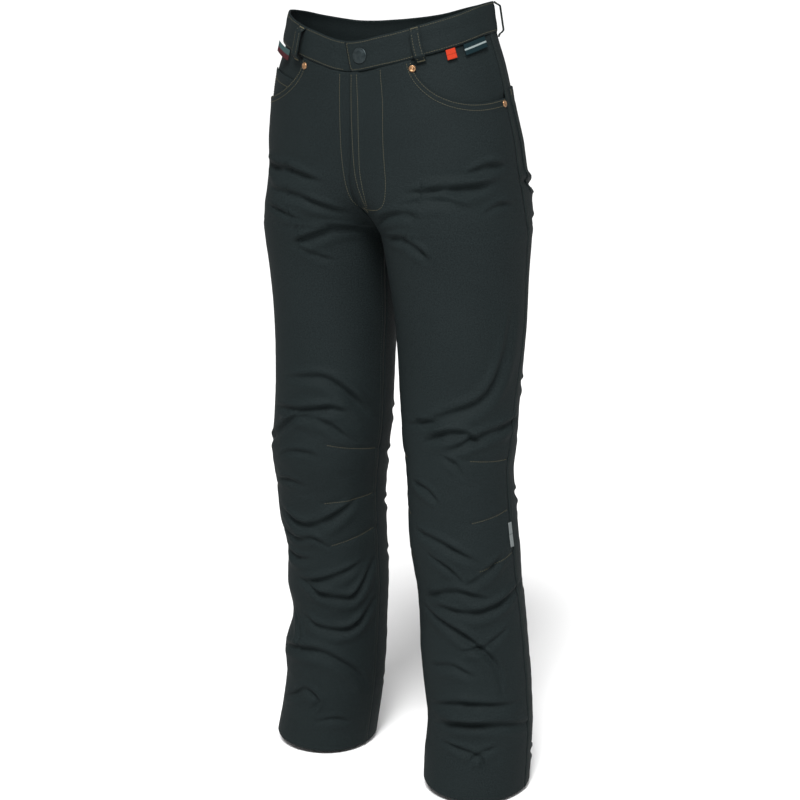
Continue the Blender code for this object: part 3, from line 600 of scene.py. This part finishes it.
def on_front(side, around, drop, out):
    """Points on a front panel. At the fly the right one runs on beneath the left one's edge."""
    near_edge = (1 - smooth(0, 0.12, around)) * (1 - smooth(FLY_END - 80, FLY_END - 26, drop))
    if side == -1:
        return about_waist(2 - around + FLY_UNDERLAP / PATTERN_WIDTH * near_edge, drop, out)
    return over_fly(around + FLY_SHIFT / PATTERN_WIDTH * near_edge, drop, out)


def scoop_gape(side, around, drop):
    """How far a scoop's edge stands off the facing, by the place on the front panel."""
    start = SCOOP_START[side]
    below = np.maximum(drop - scoop_drop(side, around), 0)
    along = smooth(start, start + 0.03, around) * smooth(SCOOP_END, SCOOP_END - 0.05, around)
    return along * (SCOOP_GAPE * np.exp(-((below / 9) ** 2)) + rolled(below, 2.0, 0.7))


def front_panel(side, name, node):
    start = SCOOP_START[side]

    def place(across, down):
        plain = start * np.minimum(across / SCOOP_COLUMNS, 1) ** 1.2
        past_start = np.clip((across - SCOOP_COLUMNS) / (1 - SCOOP_COLUMNS), 0, 1)
        at_top = plain + (SCOOP_END - start) * past_start**1.35
        top = scoop_drop(side, at_top)
        drop = top + (HEM - top) * down
        seam = side_seam(drop)
        even = smooth(120, 330, drop)
        around = at_top * seam / SCOOP_END * (1 - even) + across * seam * even
        out = panel_out(around, drop, True) + scoop_gape(side, around, drop)
        flat = np.stack([around * PATTERN_WIDTH, drop], -1)
        return on_front(side, within_seams(side, around, drop, 0, seam), drop, out), flat

    return finished(cloth_sheet(name, FRONT_CELLS, place, CLOTH, twill, side == 1), node)


def back_panel(side, name, node):
    def place(across, down):
        top = BAND_HEIGHT + SEAM_GAP / 2
        drop = top + (HEM - top) * down
        seam = side_seam(drop)
        around = seam + (1 - seam) * across
        out = panel_out(around, drop, False)
        placed = within_seams(side, around, drop, seam, 1)
        return worn(side, placed, drop, out), np.stack([around * PATTERN_WIDTH, drop], -1)

    return finished(cloth_sheet(name, BACK_CELLS, place, CLOTH, twill, side == 1), node)


for side, word in ((1, "left"), (-1, "right")):
    front = front_panel(side, "front_cloth_" + word, "front_" + word)
    back = back_panel(side, "back_cloth_" + word, "back_" + word)

# Pocket facings and the coin pocket
# The same twill lines each scoop pocket where its curve leaves it bare. The right one carries a small
# patch pocket with a turned and stitched top edge.

FACING_CLOTH = 1.1
FACING_DEPTH = {1: 2.3, -1: 3.8}
FACING_REACH = 18.0
COIN_PLACES = (0.17, 0.37, 73.5, 120.0)
COIN_DEPTH = 2.3
COIN_TALL = 50
COIN_CLOTH = 1.0


def pocket_facing(side, name, node):
    start = SCOOP_START[side] - 0.03

    def place(across, down):
        around = start + (SCOOP_END - start) * across
        top = BAND_HEIGHT + SEAM_GAP / 2
        drop = top + (scoop_drop(side, around) + FACING_REACH - top) * down
        placed = within_seams(side, around, drop, start, SCOOP_END)
        bare = smooth(1, 9, scoop_drop(side, around) - drop)
        flush = bare * smooth(SCOOP_END - 0.05, SCOOP_END, around)
        sunk = FACING_DEPTH[side] * (1 - flush)
        return worn(side, placed, drop, -sunk), np.stack([around * PATTERN_WIDTH, drop], -1)

    return finished(cloth_sheet(name, (50, 34), place, FACING_CLOTH, twill, side == 1), node)


def coin_place(across, down):
    """A position and a drop on the coin pocket."""
    start, end, top, bottom = COIN_PLACES
    return start + (end - start) * across, top + (bottom - top) * down


def lay_coin_pocket(across, down):
    around, drop = coin_place(across, down)
    out = rolled(down * COIN_TALL, 2.0, 0.6) + smooth(0.3, 0, down)
    return worn(-1, around, drop, out - COIN_DEPTH), np.stack([around * PATTERN_WIDTH, drop], -1)


for side, word in ((1, "left"), (-1, "right")):
    facing = pocket_facing(side, "facing_cloth_" + word, "pocket_facing_" + word)
coin_sheet = cloth_sheet("coin_pocket_cloth", (34, 18), lay_coin_pocket, COIN_CLOTH, twill, False)
coin = finished(coin_sheet, "coin_pocket")

# Back pockets
# Plain five-cornered patches of twill, sewn on round three sides with a turned hem at the open top.

BACK_POCKET = (0.575, 0.865, 104.0, 226.0)
POCKET_POINT = 16.0
POCKET_TAPER = 0.1
POCKET_WIDE = 130
POCKET_TALL = 145
POCKET_CLOTH = 1.1
PATCH_HEIGHT = 1.5
PATCH_GAPE = 1.8


def back_pocket_place(across, down):
    start, end, top, bottom = BACK_POCKET
    off = (across - 0.5) * (1 - POCKET_TAPER * down)
    low = bottom + POCKET_POINT * (1 - 2 * np.abs(across - 0.5))
    return (start + end) / 2 + (end - start) * off, top + (low - top) * down


def pocket_gape(across, down):
    """How far a back pocket's open top stands off the panel."""
    return PATCH_GAPE * smooth(0.22, 0, down) * np.sin(np.pi * across) ** 2


def back_pocket(side, name, node):
    def place(across, down):
        around, drop = back_pocket_place(across, down)
        from_side = np.minimum(across, 1 - across) * POCKET_WIDE
        out = PATCH_HEIGHT + rolled(from_side, 2.0, 0.5) + rolled((1 - down) * POCKET_TALL, 2.0, 0.5)
        out = out + pocket_gape(across, down)
        return worn(side, around, drop, out), np.stack([around * PATTERN_WIDTH, drop], -1)

    return finished(cloth_sheet(name, (60, 60), place, POCKET_CLOTH, twill, side == 1), node)


for side, word in ((1, "left"), (-1, "right")):
    patch = back_pocket(side, "back_pocket_cloth_" + word, "back_pocket_" + word)

# Waistband
# One folded strip of twill, 39 mm deep, sewn over the tops of the panels. Its left end laps over the
# right one at the centre front, where the snap closes it.

BAND_THICKNESS = 2.6
BAND_DEEP = BAND_HEIGHT - SEAM_GAP / 2
BAND_START = (-0.007, 0.017)
BAND_UNDERLAP = 32.0
BAND_RISE = 1.3
BAND_SINK = 1.7
# Length of half the waist, which is one unit of a position on the waistband
WAIST_WIDTH = 400
BAND_END = 2 + float(share_of(1, np.array(0.0), np.array(20.0), BAND_UNDERLAP))
EDGE_ROW = 2.6


def band_start(down):
    """Position of the waistband's slanting left end at a share of its depth."""
    return BAND_START[0] + (BAND_START[1] - BAND_START[0]) * down


def on_band(run, drop, out):
    """Points on the waistband, which rises where it laps over and sinks where it runs beneath."""
    rise = BAND_RISE * (1 - smooth(0.08, 0.14, run)) - BAND_SINK * smooth(1.955, 1.985, run)
    return about_waist(run, drop, BAND_THICKNESS / 2 + rise + out)


def band_relief(run, down):
    """Relief of the waistband: its turned edges, its stitched rows, and its unevenness."""
    edge = np.minimum(down, 1 - down) * BAND_DEEP
    turned = rolled(edge, 2.2, 0.7) + rolled((run - band_start(down)) * WAIST_WIDTH, 2.0, 0.7)
    puffed = 0.35 * np.sin(np.pi * np.clip((edge - EDGE_ROW) / 14, 0, 1))
    pulled_in = 0.25 * np.exp(-(((edge - EDGE_ROW) / 1.2) ** 2))
    waves = 0.3 * np.sin(run * 31 + 1.3) * np.sin(np.pi * down) + 0.2 * np.sin(run * 83 + down * 2)
    return turned + puffed - pulled_in + waves


def lay_band(across, down):
    start = band_start(down)
    run = start + (BAND_END - start) * across
    drop = BAND_DEEP * down
    return on_band(run, drop, band_relief(run, down)), np.stack([run * PATTERN_WIDTH, drop], -1)


band_sheet = cloth_sheet("waistband_cloth", (500, 20), lay_band, BAND_THICKNESS, twill, True)
band = finished(band_sheet, "waistband")

# Belt loops
# Five strips of folded twill, each stitched along both edges and tacked at the waistband's top edge and
# just below its seam, standing off between the tacks so that a belt passes through.

LOOPS = {
    "left_front": (0.222, 0.238),
    "left_back": (0.635, 0.635),
    "centre_back": (1.0, 1.0),
    "right_back": (1.365, 1.365),
    "right_front": (1.83, 1.816),
}
LOOP_WIDTH = 13.0
LOOP_THICKNESS = 1.6
LOOP_TOP = 0.6
LOOP_END = 46.0
LOOP_STANDOFF = 8.4
LOOP_FOOT = 0.8


def on_loop(runs, across, down, out):
    """Points on a loop's outer face, by shares of its width and length; runs are those of its two ends."""
    side, around = (1, runs[0]) if runs[0] <= 1 else (-1, 2 - runs[0])
    span = float(share_of(side, np.array(around), np.array(20.0), LOOP_WIDTH))
    middle = smooth(0, 0.16, down) * (1 - smooth(0.82, 0.99, down))
    on_band_height = BAND_THICKNESS / 2 + SEAM_GAP
    ends = on_band_height + (LOOP_FOOT - on_band_height) * smooth(0.84, 0.93, down)
    middle_run = runs[0] + (runs[1] - runs[0]) * down + 0.04 * span * np.sin(5 * down + 9 * runs[0])
    height = ends + (LOOP_STANDOFF - ends) * middle + LOOP_THICKNESS + out
    drop = LOOP_TOP + (LOOP_END - LOOP_TOP) * down
    return about_waist(middle_run + span * (across - 0.5), drop, height)


def belt_loop(name, runs, node):
    def place(across, down):
        edge = np.minimum(across, 1 - across) * LOOP_WIDTH
        out = rolled(edge, 1.6, 0.5) + 0.2 * np.exp(-(((edge - 3.4) / 1.4) ** 2))
        pattern = np.stack([across * LOOP_WIDTH, down * LOOP_END], -1)
        return on_loop(runs, across, down, out), pattern

    strip = finished(cloth_sheet(name, (12, 46), place, LOOP_THICKNESS, twill, True), node)


for word, runs in LOOPS.items():
    belt_loop("loop_cloth_" + word, runs, "belt_loop_" + word)

# Sewing
# Olive-tan topstitching of thick thread: single along the waistband's edges and the fly's turn, double on
# the scoops, seams and back pockets, and along each knee dart.

THREAD_RADIUS = 0.3
STITCH_PITCH = 3.3
STITCH_PART = 0.7
SUNK = 0.06
NEAR_ROW, FAR_ROW = 2.0, 8.0
HEM_ROW = 0.15

thread = woven("tan_thread", (0.10, 0.09, 0.055), (0.19, 0.17, 0.11), 0.7, 0.4, 0.05, rib=20)
dark_thread = woven("dark_thread", (0.02, 0.024, 0.021), (0.036, 0.04, 0.034), 0.7, 0.4, 0.05, rib=20)


def spaced(points, pitch):
    """Points at an even pitch along a line of points."""
    reached = np.concatenate([[0], np.cumsum(np.linalg.norm(np.diff(points, axis=0), axis=1))])
    wanted = np.linspace(0, reached[-1], max(int(reached[-1] / pitch), 1) + 1)
    return np.stack([np.interp(wanted, reached, points[:, axis]) for axis in range(3)], -1)


def stitch(bm, middle, run, length):
    """One stitch of thread, lying along run."""
    turn = run.to_track_quat("X", "Z").to_matrix().to_4x4()
    size = Matrix.Diagonal((length / 2, THREAD_RADIUS * MM, THREAD_RADIUS * MM, 1))
    place = Matrix.Translation(Vector(middle)) @ turn @ size
    bmesh.ops.create_icosphere(bm, subdivisions=1, radius=1, matrix=place)


def sewn_on(bm, name, finish):
    """Shows stitches, which stand for no node of their own."""
    rows = shown(bm, name, finish)
    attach(rows, "root")


def sew(name, lines, finish=thread):
    """One mesh of all the stitches along some lines of points."""
    bm = bmesh.new()
    for line in lines:
        ends = spaced(line, STITCH_PITCH * MM)
        for start, end in zip(ends, ends[1:]):
            run = Vector(end - start)
            stitch(bm, (start + end) / 2, run, STITCH_PART * run.length)
    sewn_on(bm, name, finish)


def through(places):
    """Positions and drops of a smooth line through some places."""
    line = follow(np.array(places, float), np.linspace(0, len(places) - 1, 60 * len(places)))
    return line[:, 0], line[:, 1]


def beside(around, drop, distance):
    """The same line, moved over the cloth to its left by a distance in millimetres."""
    step = np.gradient(np.stack([around * PATTERN_WIDTH, drop], -1), axis=0)
    step /= np.linalg.norm(step, axis=1, keepdims=True)
    return around - step[:, 1] * distance / PATTERN_WIDTH, drop + step[:, 0] * distance


FLY_ROWS = [
    (1, [(0.019, 42), (0.018, 92), (0.022, 180), (0.029, 212), (0.043, 241)]),
    (1, [(0.035, 42), (0.036, 93), (0.036, 180), (0.041, 212), (0.048, 238)]),
    (1, [(0.109, 42), (0.106, 100), (0.102, 156), (0.112, 206), (0.112, 230), (0.098, 239), (0.074, 242)]),
    (1, [(0.074, 242), (0.050, 243), (0.034, 243), (0.018, 242)]),
    (-1, [(0.020, 42), (0.016, 125), (0.012, 205), (0.010, 230), (0.004, 241)]),
]
fly_lines = []
for side, places in FLY_ROWS:
    around, drop = through(places)
    fly_lines.append(over_fly(around, drop, SUNK) if side == 1 else worn(-1, around, drop, SUNK))
sew("sewing_fly", fly_lines)

scoop_lines = []
for side in (1, -1):
    at = SCOOP_START[side] + (SCOOP_END - 0.006 - SCOOP_START[side]) * np.linspace(0, 1, 300) ** 2.5
    for distance in (NEAR_ROW, FAR_ROW):
        around, drop = beside(at, scoop_drop(side, at), distance)
        kept = (drop > BAND_HEIGHT + 3) & (around < SCOOP_END - 0.003)
        out = SUNK + 0.1 + scoop_gape(side, around[kept], drop[kept])
        scoop_lines.append(worn(side, around[kept], drop[kept], out))
sew("sewing_scoops", scoop_lines)

coin_lines = []
for (from_across, from_down), (to_across, to_down) in (
    ((0.0, 0.27), (1.0, 0.27)),
    ((0.025, 0.02), (0.025, 1.0)),
    ((0.975, 0.02), (0.975, 1.0)),
):
    share = np.linspace(0, 1, 60)
    across = from_across + (to_across - from_across) * share
    around, drop = coin_place(across, from_down + (to_down - from_down) * share)
    coin_lines.append(worn(-1, around, drop, SUNK + 0.1 - COIN_DEPTH))
sew("sewing_coin_pocket", coin_lines)

band_lines = []
for down in (EDGE_ROW / BAND_DEEP, 1 - EDGE_ROW / BAND_DEEP):
    run = np.linspace(band_start(down) + 0.005, 1.99, 1600)
    band_lines.append(on_band(run, down * BAND_DEEP + 0 * run, band_relief(run, down) + SUNK + 0.05))
down = np.linspace(EDGE_ROW, BAND_DEEP - EDGE_ROW, 40) / BAND_DEEP
run = band_start(down) + 0.005
band_lines.append(on_band(run, down * BAND_DEEP, band_relief(run, down) + SUNK + 0.15))
sew("sewing_waistband", band_lines)

loop_lines = []
for runs in LOOPS.values():
    down = np.linspace(0.03, 0.98, 80)
    for across in (0.2, 0.8):
        loop_lines.append(on_loop(runs, np.full_like(down, across), down, SUNK))
sew("sewing_belt_loops", loop_lines)

dart_lines = []
for (side, seam), darts in DARTS.items():
    for dart in darts:
        around, drop = through(dart)
        from_seam = np.abs(around - (side_seam(drop) if seam == "side" else 0.0)) * PATTERN_WIDTH
        kept = (from_seam > 3) & (from_seam < from_seam.max() - 6)
        dart_lines.append(on_front(side, around[kept], drop[kept], SUNK + 0.1))
sew("sewing_darts", dart_lines)

seam_lines = []
side_drops = np.linspace(BAND_HEIGHT + 4, HEM - 3, 1500)
leg_drops = np.linspace(FORK_DROP + 6, HEM - 3, 1200)
seat_drops = np.linspace(BAND_HEIGHT + 4, FORK_DROP - 8, 400)
for distance in (NEAR_ROW, FELL_WIDTH - 0.8):
    share = distance / PATTERN_WIDTH
    seam_lines.append(worn(1, 1 - share + 0 * seat_drops, seat_drops, FELL_HEIGHT + SUNK))
    for side in (1, -1):
        seam_lines.append(worn(side, side_seam(side_drops) + share, side_drops, FELL_HEIGHT + SUNK))
        seam_lines.append(worn(side, share + 0 * leg_drops, leg_drops, FELL_HEIGHT + SUNK))
sew("sewing_seams", seam_lines, dark_thread)

pocket_lines = []
for side in (1, -1):
    for inset in (NEAR_ROW, FAR_ROW):
        left, right, low = inset / POCKET_WIDE, 1 - inset / POCKET_WIDE, 1 - inset / POCKET_TALL
        corners = [(left, 0.02), (left, low), (0.5, low), (right, low), (right, 0.02)]
        for (from_across, from_down), (to_across, to_down) in zip(corners, corners[1:]):
            share = np.linspace(0, 1, 80)
            across = from_across + (to_across - from_across) * share
            around, drop = back_pocket_place(across, from_down + (to_down - from_down) * share)
            pocket_lines.append(worn(side, around, drop, PATCH_HEIGHT + SUNK))
    across = np.linspace(0.02, 0.98, 80)
    down = np.full_like(across, HEM_ROW)
    around, drop = back_pocket_place(across, down)
    pocket_lines.append(worn(side, around, drop, PATCH_HEIGHT + SUNK + pocket_gape(across, down)))
sew("sewing_back_pockets", pocket_lines, dark_thread)

# Bar tacks
# Short blocks of close zigzag stitches that hold what pulls hardest: the loops' ends, the foot of the fly
# and the corners of the back pockets.

TACK_PITCH = 0.7
TACK_WIDTH = 2.2
TACK_SLANT = 0.25


def tack(bm, line, outwards):
    """Crosswise threads, laid closely side by side along a line of points."""
    points = spaced(line, TACK_PITCH * MM)
    for start, end in zip(points, points[1:]):
        along = Vector(end - start).normalized()
        crosswise = along.cross(Vector(outwards)).normalized() + TACK_SLANT * along
        stitch(bm, (start + end) / 2, crosswise, TACK_WIDTH * MM)


tacks = bmesh.new()
share = np.linspace(0, 1, 12)
for runs in LOOPS.values():
    for down in (0.045, 0.965):
        across = 0.12 + 0.76 * share
        line, above = (on_loop(runs, across, np.full_like(across, down), out) for out in (0.15, 1.0))
        tack(tacks, line, above[6] - line[6])
fly_foot, above = (over_fly(0.032 + 0.012 * share, 240 + 8 * share, out) for out in (0.25, 1.0))
tack(tacks, fly_foot, above[6] - fly_foot[6])
for side in (1, -1):
    for across in (0.03, 0.97):
        around, drop = back_pocket_place(np.full_like(share, across), 0.01 + 0.05 * share)
        line, above = (worn(side, around, drop, PATCH_HEIGHT + out) for out in (0.1, 1.0))
        tack(tacks, line, above[6] - line[6])
sewn_on(tacks, "bar_tacks", thread)

# Snap
# A pressed steel cap, 20 mm across, blackened: a rolled rim round a shallow trough and a low dome, pressed
# through the waistband's overlap. Its dome is left plain.

SNAP_PLACE = (0.047, 19.5)
SNAP_PROFILE = [
    (0.0, 3.1),
    (2.4, 3.03),
    (4.6, 2.8),
    (6.4, 2.4),
    (7.6, 1.95),
    (8.1, 1.8),
    (8.6, 1.9),
    (9.2, 1.9),
    (9.7, 1.65),
    (10.0, 1.1),
    (9.6, 0.4),
    (8.6, 0.0),
    (0.0, 0.0),
]


def metal_finish(name, colour, worn_colour, roughness, grain_size, relief):
    """Plated metal with cloudy tarnish, rubbed paler in places, and fine scuffs."""
    made = bpy.data.materials.new(name)
    made.use_nodes = True
    tree = made.node_tree
    shader = tree.nodes["Principled BSDF"]
    shader.inputs["Metallic"].default_value = 0.8
    place = tree.nodes.new("ShaderNodeTexCoord")
    cloud = tree.nodes.new("ShaderNodeTexNoise")
    cloud.inputs["Scale"].default_value = 1 / (grain_size * MM)
    cloud.inputs["Detail"].default_value = 6.0
    wire(tree, (place, "Object"), (cloud, "Vector"))
    shades = tree.nodes.new("ShaderNodeValToRGB")
    shades.color_ramp.elements[0].position = 0.35
    shades.color_ramp.elements[0].color = (*colour, 1)
    shades.color_ramp.elements[1].position = 0.7
    shades.color_ramp.elements[1].color = (*worn_colour, 1)
    wire(tree, (cloud, "Fac"), (shades, "Fac"))
    wire(tree, (shades, "Color"), (shader, "Base Color"))
    dull = tree.nodes.new("ShaderNodeMapRange")
    dull.inputs["To Min"].default_value = roughness - 0.08
    dull.inputs["To Max"].default_value = roughness + 0.14
    wire(tree, (cloud, "Fac"), (dull, "Value"))
    wire(tree, (dull, "Result"), (shader, "Roughness"))
    raised = tree.nodes.new("ShaderNodeBump")
    raised.inputs["Strength"].default_value = 0.6
    raised.inputs["Distance"].default_value = relief * MM
    wire(tree, (cloud, "Fac"), (raised, "Height"))
    wire(tree, (raised, "Normal"), (shader, "Normal"))
    return made


def pressed(name, profile, steps, base, above, finish, node):
    """A round metal piece, spun from radii and heights about the way out from its base."""
    bm = bmesh.new()
    points = [bm.verts.new((radius, 0, height)) for radius, height in profile]
    outline = points + [bm.edges.new(pair) for pair in zip(points, points[1:])]
    bmesh.ops.spin(
        bm, geom=outline, cent=(0, 0, 0), axis=(0, 0, 1), angle=2 * math.pi, steps=steps, use_merge=True
    )
    bmesh.ops.remove_doubles(bm, verts=bm.verts, dist=1e-5)
    bmesh.ops.recalc_face_normals(bm, faces=bm.faces)
    facing = Vector(above - base).to_track_quat("Z", "Y").to_matrix().to_4x4()
    bm.transform(Matrix.Translation(Vector(base)) @ facing @ Matrix.Scale(MM, 4))
    piece = shown(bm, name, finish)
    piece.data.set_sharp_from_angle(angle=math.radians(55))
    return finished(piece, node)


gunmetal = metal_finish("dark_gunmetal", (0.014, 0.021, 0.023), (0.03, 0.04, 0.042), 0.44, 5.0, 0.004)
snap_run, snap_drop = (np.array([value]) for value in SNAP_PLACE)
snap_base, snap_above = (on_band(snap_run, snap_drop, out)[0] for out in (SEAM_GAP, 10.0))
pressed("snap_cap", SNAP_PROFILE, 56, snap_base, snap_above, gunmetal, "snap_button")

# Rivets
# Four small copper rivets at the ends of the scoops, each a flanged ring round a dished middle with the
# end of its nail showing.

RIVETS = {
    (1, "inner"): (0.207, 50.5),
    (1, "outer"): (0.519, 118.0),
    (-1, "inner"): (0.147, 48.5),
    (-1, "outer"): (0.519, 120.5),
}
RIVET_PROFILE = [
    (0.0, 1.25),
    (0.7, 1.2),
    (1.0, 0.85),
    (1.5, 0.7),
    (2.1, 0.95),
    (2.6, 1.45),
    (3.3, 1.6),
    (4.0, 1.3),
    (4.5, 0.75),
    (4.6, 0.3),
    (4.3, 0.0),
    (0.0, 0.0),
]
copper = metal_finish("worn_copper", (0.14, 0.075, 0.035), (0.36, 0.2, 0.1), 0.32, 1.6, 0.01)
for (side, where), (around, drop) in RIVETS.items():
    word = "left" if side == 1 else "right"
    base, above = (worn(side, np.array([around]), np.array([drop]), out)[0] for out in (SEAM_GAP, 10.0))
    node = "rivet_" + word + "_" + where
    pressed("rivet_cap_" + word + "_" + where, RIVET_PROFILE, 28, base, above, copper, node)

# Tags
# Woven tapes caught in the waist seam and the left side seam. Their fronts are plain, with a pale or a
# maroon woven stripe.

TAPE = 0.7
TAG_TOP = BAND_HEIGHT + 0.4
DARK_FLAT = (0.048, 0.0145)
ORANGE_FLAT = (0.016, 0.0135)
RIGHT_FLAT = (0.026, 0.0145)
SIDE_FLAT = (0.012, 0.034)


def striped(name, colour, stripe, low, high):
    """A fine woven tape with one stripe of another colour between two shares of its height."""
    made = woven(name, colour, tuple(1.5 * part for part in colour), 0.7, 0.5, 0.05)
    tree = made.node_tree
    shader = tree.nodes["Principled BSDF"]
    ground = tree.nodes["Color Ramp"]
    parts = tree.nodes.new("ShaderNodeAttribute")
    parts.attribute_name = "part"
    split = tree.nodes.new("ShaderNodeSeparateXYZ")
    wire(tree, (parts, "Vector"), (split, "Vector"))
    edges = tree.nodes.new("ShaderNodeValToRGB")
    edges.color_ramp.interpolation = "CONSTANT"
    edges.color_ramp.elements[0].position = 0.0
    edges.color_ramp.elements[0].color = (0, 0, 0, 1)
    edges.color_ramp.elements[1].position = low
    edges.color_ramp.elements[1].color = (1, 1, 1, 1)
    edges.color_ramp.elements.new(high).color = (0, 0, 0, 1)
    wire(tree, (split, "Y"), (edges, "Fac"))
    mix = tree.nodes.new("ShaderNodeMix")
    mix.data_type = "RGBA"
    mix.inputs["B"].default_value = (*stripe, 1)
    tree.links.new(edges.outputs["Color"], mix.inputs["Factor"])
    tree.links.new(ground.outputs["Color"], mix.inputs[6])
    tree.links.new(mix.outputs[2], shader.inputs["Base Color"])
    return made


def tag(name, side, places, height_at, cells, finish, node, flat):
    """A flat tape. Its places are its two sides, its top and bottom drops, and how far its end rises."""
    start, end, top, bottom, rise = places

    def place(across, down):
        around = start + (end - start) * across
        drop = top + (bottom - top) * down - rise * across**2
        pattern = np.stack([across * flat[0], down * flat[1]], -1) / MM
        return worn(side, around, drop, height_at(across, down) + TAPE), pattern

    piece = cloth_sheet(name, cells, place, TAPE, finish, side == 1)
    parts = piece.data.attributes.new("part", "FLOAT_VECTOR", "POINT")
    shares = np.array([loop_uv.vector for loop_uv in piece.data.uv_layers["weave"].uv])
    corners = np.empty(len(piece.data.loops), np.int32)
    piece.data.loops.foreach_get("vertex_index", corners)
    values = np.zeros((len(piece.data.vertices), 3), np.float32)
    values[corners, :2] = shares / flat
    parts.data.foreach_set("vector", values.ravel())
    return finished(piece, node)


dark_tape = striped("dark_teal_tape", (0.004, 0.01, 0.012), (0.16, 0.19, 0.19), 0.42, 0.58)
orange_tape = striped("orange_ribbon", (0.23, 0.02, 0.008), (0.17, 0.016, 0.007), 0.5, 0.56)
maroon_tape = striped("teal_and_maroon_tape", (0.02, 0.036, 0.036), (0.034, 0.01, 0.012), 0.5, 0.999)
grey_tape = striped("pale_grey_tape", (0.09, 0.1, 0.1), (0.07, 0.08, 0.08), 0.45, 0.5)
dark_tag = tag(
    "tag_dark", 1, (0.39, 0.492, TAG_TOP, 53, 0), lambda across, down: 0.4 + 1.2 * down,
    (36, 14), dark_tape, "label_dark", DARK_FLAT,
)
orange_tag = tag(
    "tag_orange", 1, (0.322, 0.356, TAG_TOP, 52, 0), lambda across, down: 0.4 + 1.6 * down,
    (14, 14), orange_tape, "label_orange", ORANGE_FLAT,
)
right_tag = tag(
    "tag_right", -1, (0.238, 0.268, TAG_TOP, 53, 8), lambda across, down: 0.4 + 12 * across**1.2,
    (18, 16), maroon_tape, "label_right", RIGHT_FLAT,
)
side_tag = tag(
    "tag_side", 1, (0.4985, 0.509, 662, 696, 0), lambda across, down: SEAM_GAP + 1.4 * across,
    (8, 24), grey_tape, "label_side", SIDE_FLAT,
)

# Floor, lights and camera
# A plain white studio: a broad pale floor under the hems, a large soft key light above the wearer's left
# front, a weaker fill from the right, and a strip behind on the left that draws the edges.

FLOOR_GAP = 0.004
FLOOR_RADIUS = 60
paper = bpy.data.materials.new("white_paper")
paper.use_nodes = True
paper.node_tree.nodes["Principled BSDF"].inputs["Base Color"].default_value = (0.86, 0.86, 0.86, 1)
paper.node_tree.nodes["Principled BSDF"].inputs["Roughness"].default_value = 0.9
disc = bmesh.new()
bmesh.ops.create_circle(disc, cap_ends=True, segments=96, radius=FLOOR_RADIUS)
bmesh.ops.translate(disc, verts=disc.verts, vec=(0, 0, cad_box[0].z - FLOOR_GAP))
shown(disc, "floor", paper)

world = bpy.data.worlds.new("studio")
world.use_nodes = True
world.node_tree.nodes["Background"].inputs["Color"].default_value = (1.0, 1.0, 1.0, 1)
world.node_tree.nodes["Background"].inputs["Strength"].default_value = 0.4
bpy.context.scene.world = world


def soft_light(name, place, aim, width, height, power):
    lamp = bpy.data.lights.new(name, "AREA")
    lamp.shape = "RECTANGLE"
    lamp.size = width
    lamp.size_y = height
    lamp.energy = power
    made = bpy.data.objects.new(name, lamp)
    made.location = place
    made.rotation_euler = (Vector(aim) - Vector(place)).to_track_quat("-Z", "Y").to_euler()
    bpy.context.scene.collection.objects.link(made)


soft_light("key", (1.5, -2.3, 2.1), (0, 0, -0.3), 1.2, 1.2, 110)
soft_light("fill", (-2.6, -1.4, 0.9), (0, 0, -0.5), 1.2, 1.6, 4)
soft_light("edge_left", (2.4, 0.8, 0.9), (0, 0, -0.5), 0.6, 2.0, 10)
sun = bpy.data.lights.new("overhead", "SUN")
sun.energy = 3.8
sun.angle = 0.35
overhead = bpy.data.objects.new("overhead", sun)
overhead.rotation_euler = (math.radians(38), 0, math.radians(20))
bpy.context.scene.collection.objects.link(overhead)
bpy.context.scene.view_settings.view_transform = "Standard"

CAMERA_AZIMUTH = 33.0
CAMERA_DISTANCE = 2.75
CAMERA_HEIGHT = 0.14
CAMERA_PITCH = 13.5
CAMERA_ASIDE = 0.0082
CAMERA_LENS = 92.25
camera_data = bpy.data.cameras.new("camera")
camera_data.sensor_width = 36
camera_data.lens = CAMERA_LENS
camera = bpy.data.objects.new("camera", camera_data)
turned_by = math.radians(CAMERA_AZIMUTH)
to_right = Vector((math.cos(turned_by), math.sin(turned_by), 0))
towards = Vector((math.sin(turned_by), -math.cos(turned_by), 0))
camera.location = CAMERA_DISTANCE * towards + CAMERA_ASIDE * to_right + Vector((0, 0, CAMERA_HEIGHT))
camera.rotation_euler = (math.radians(90 - CAMERA_PITCH), 0, turned_by)
bpy.context.scene.collection.objects.link(camera)
bpy.context.scene.camera = camera
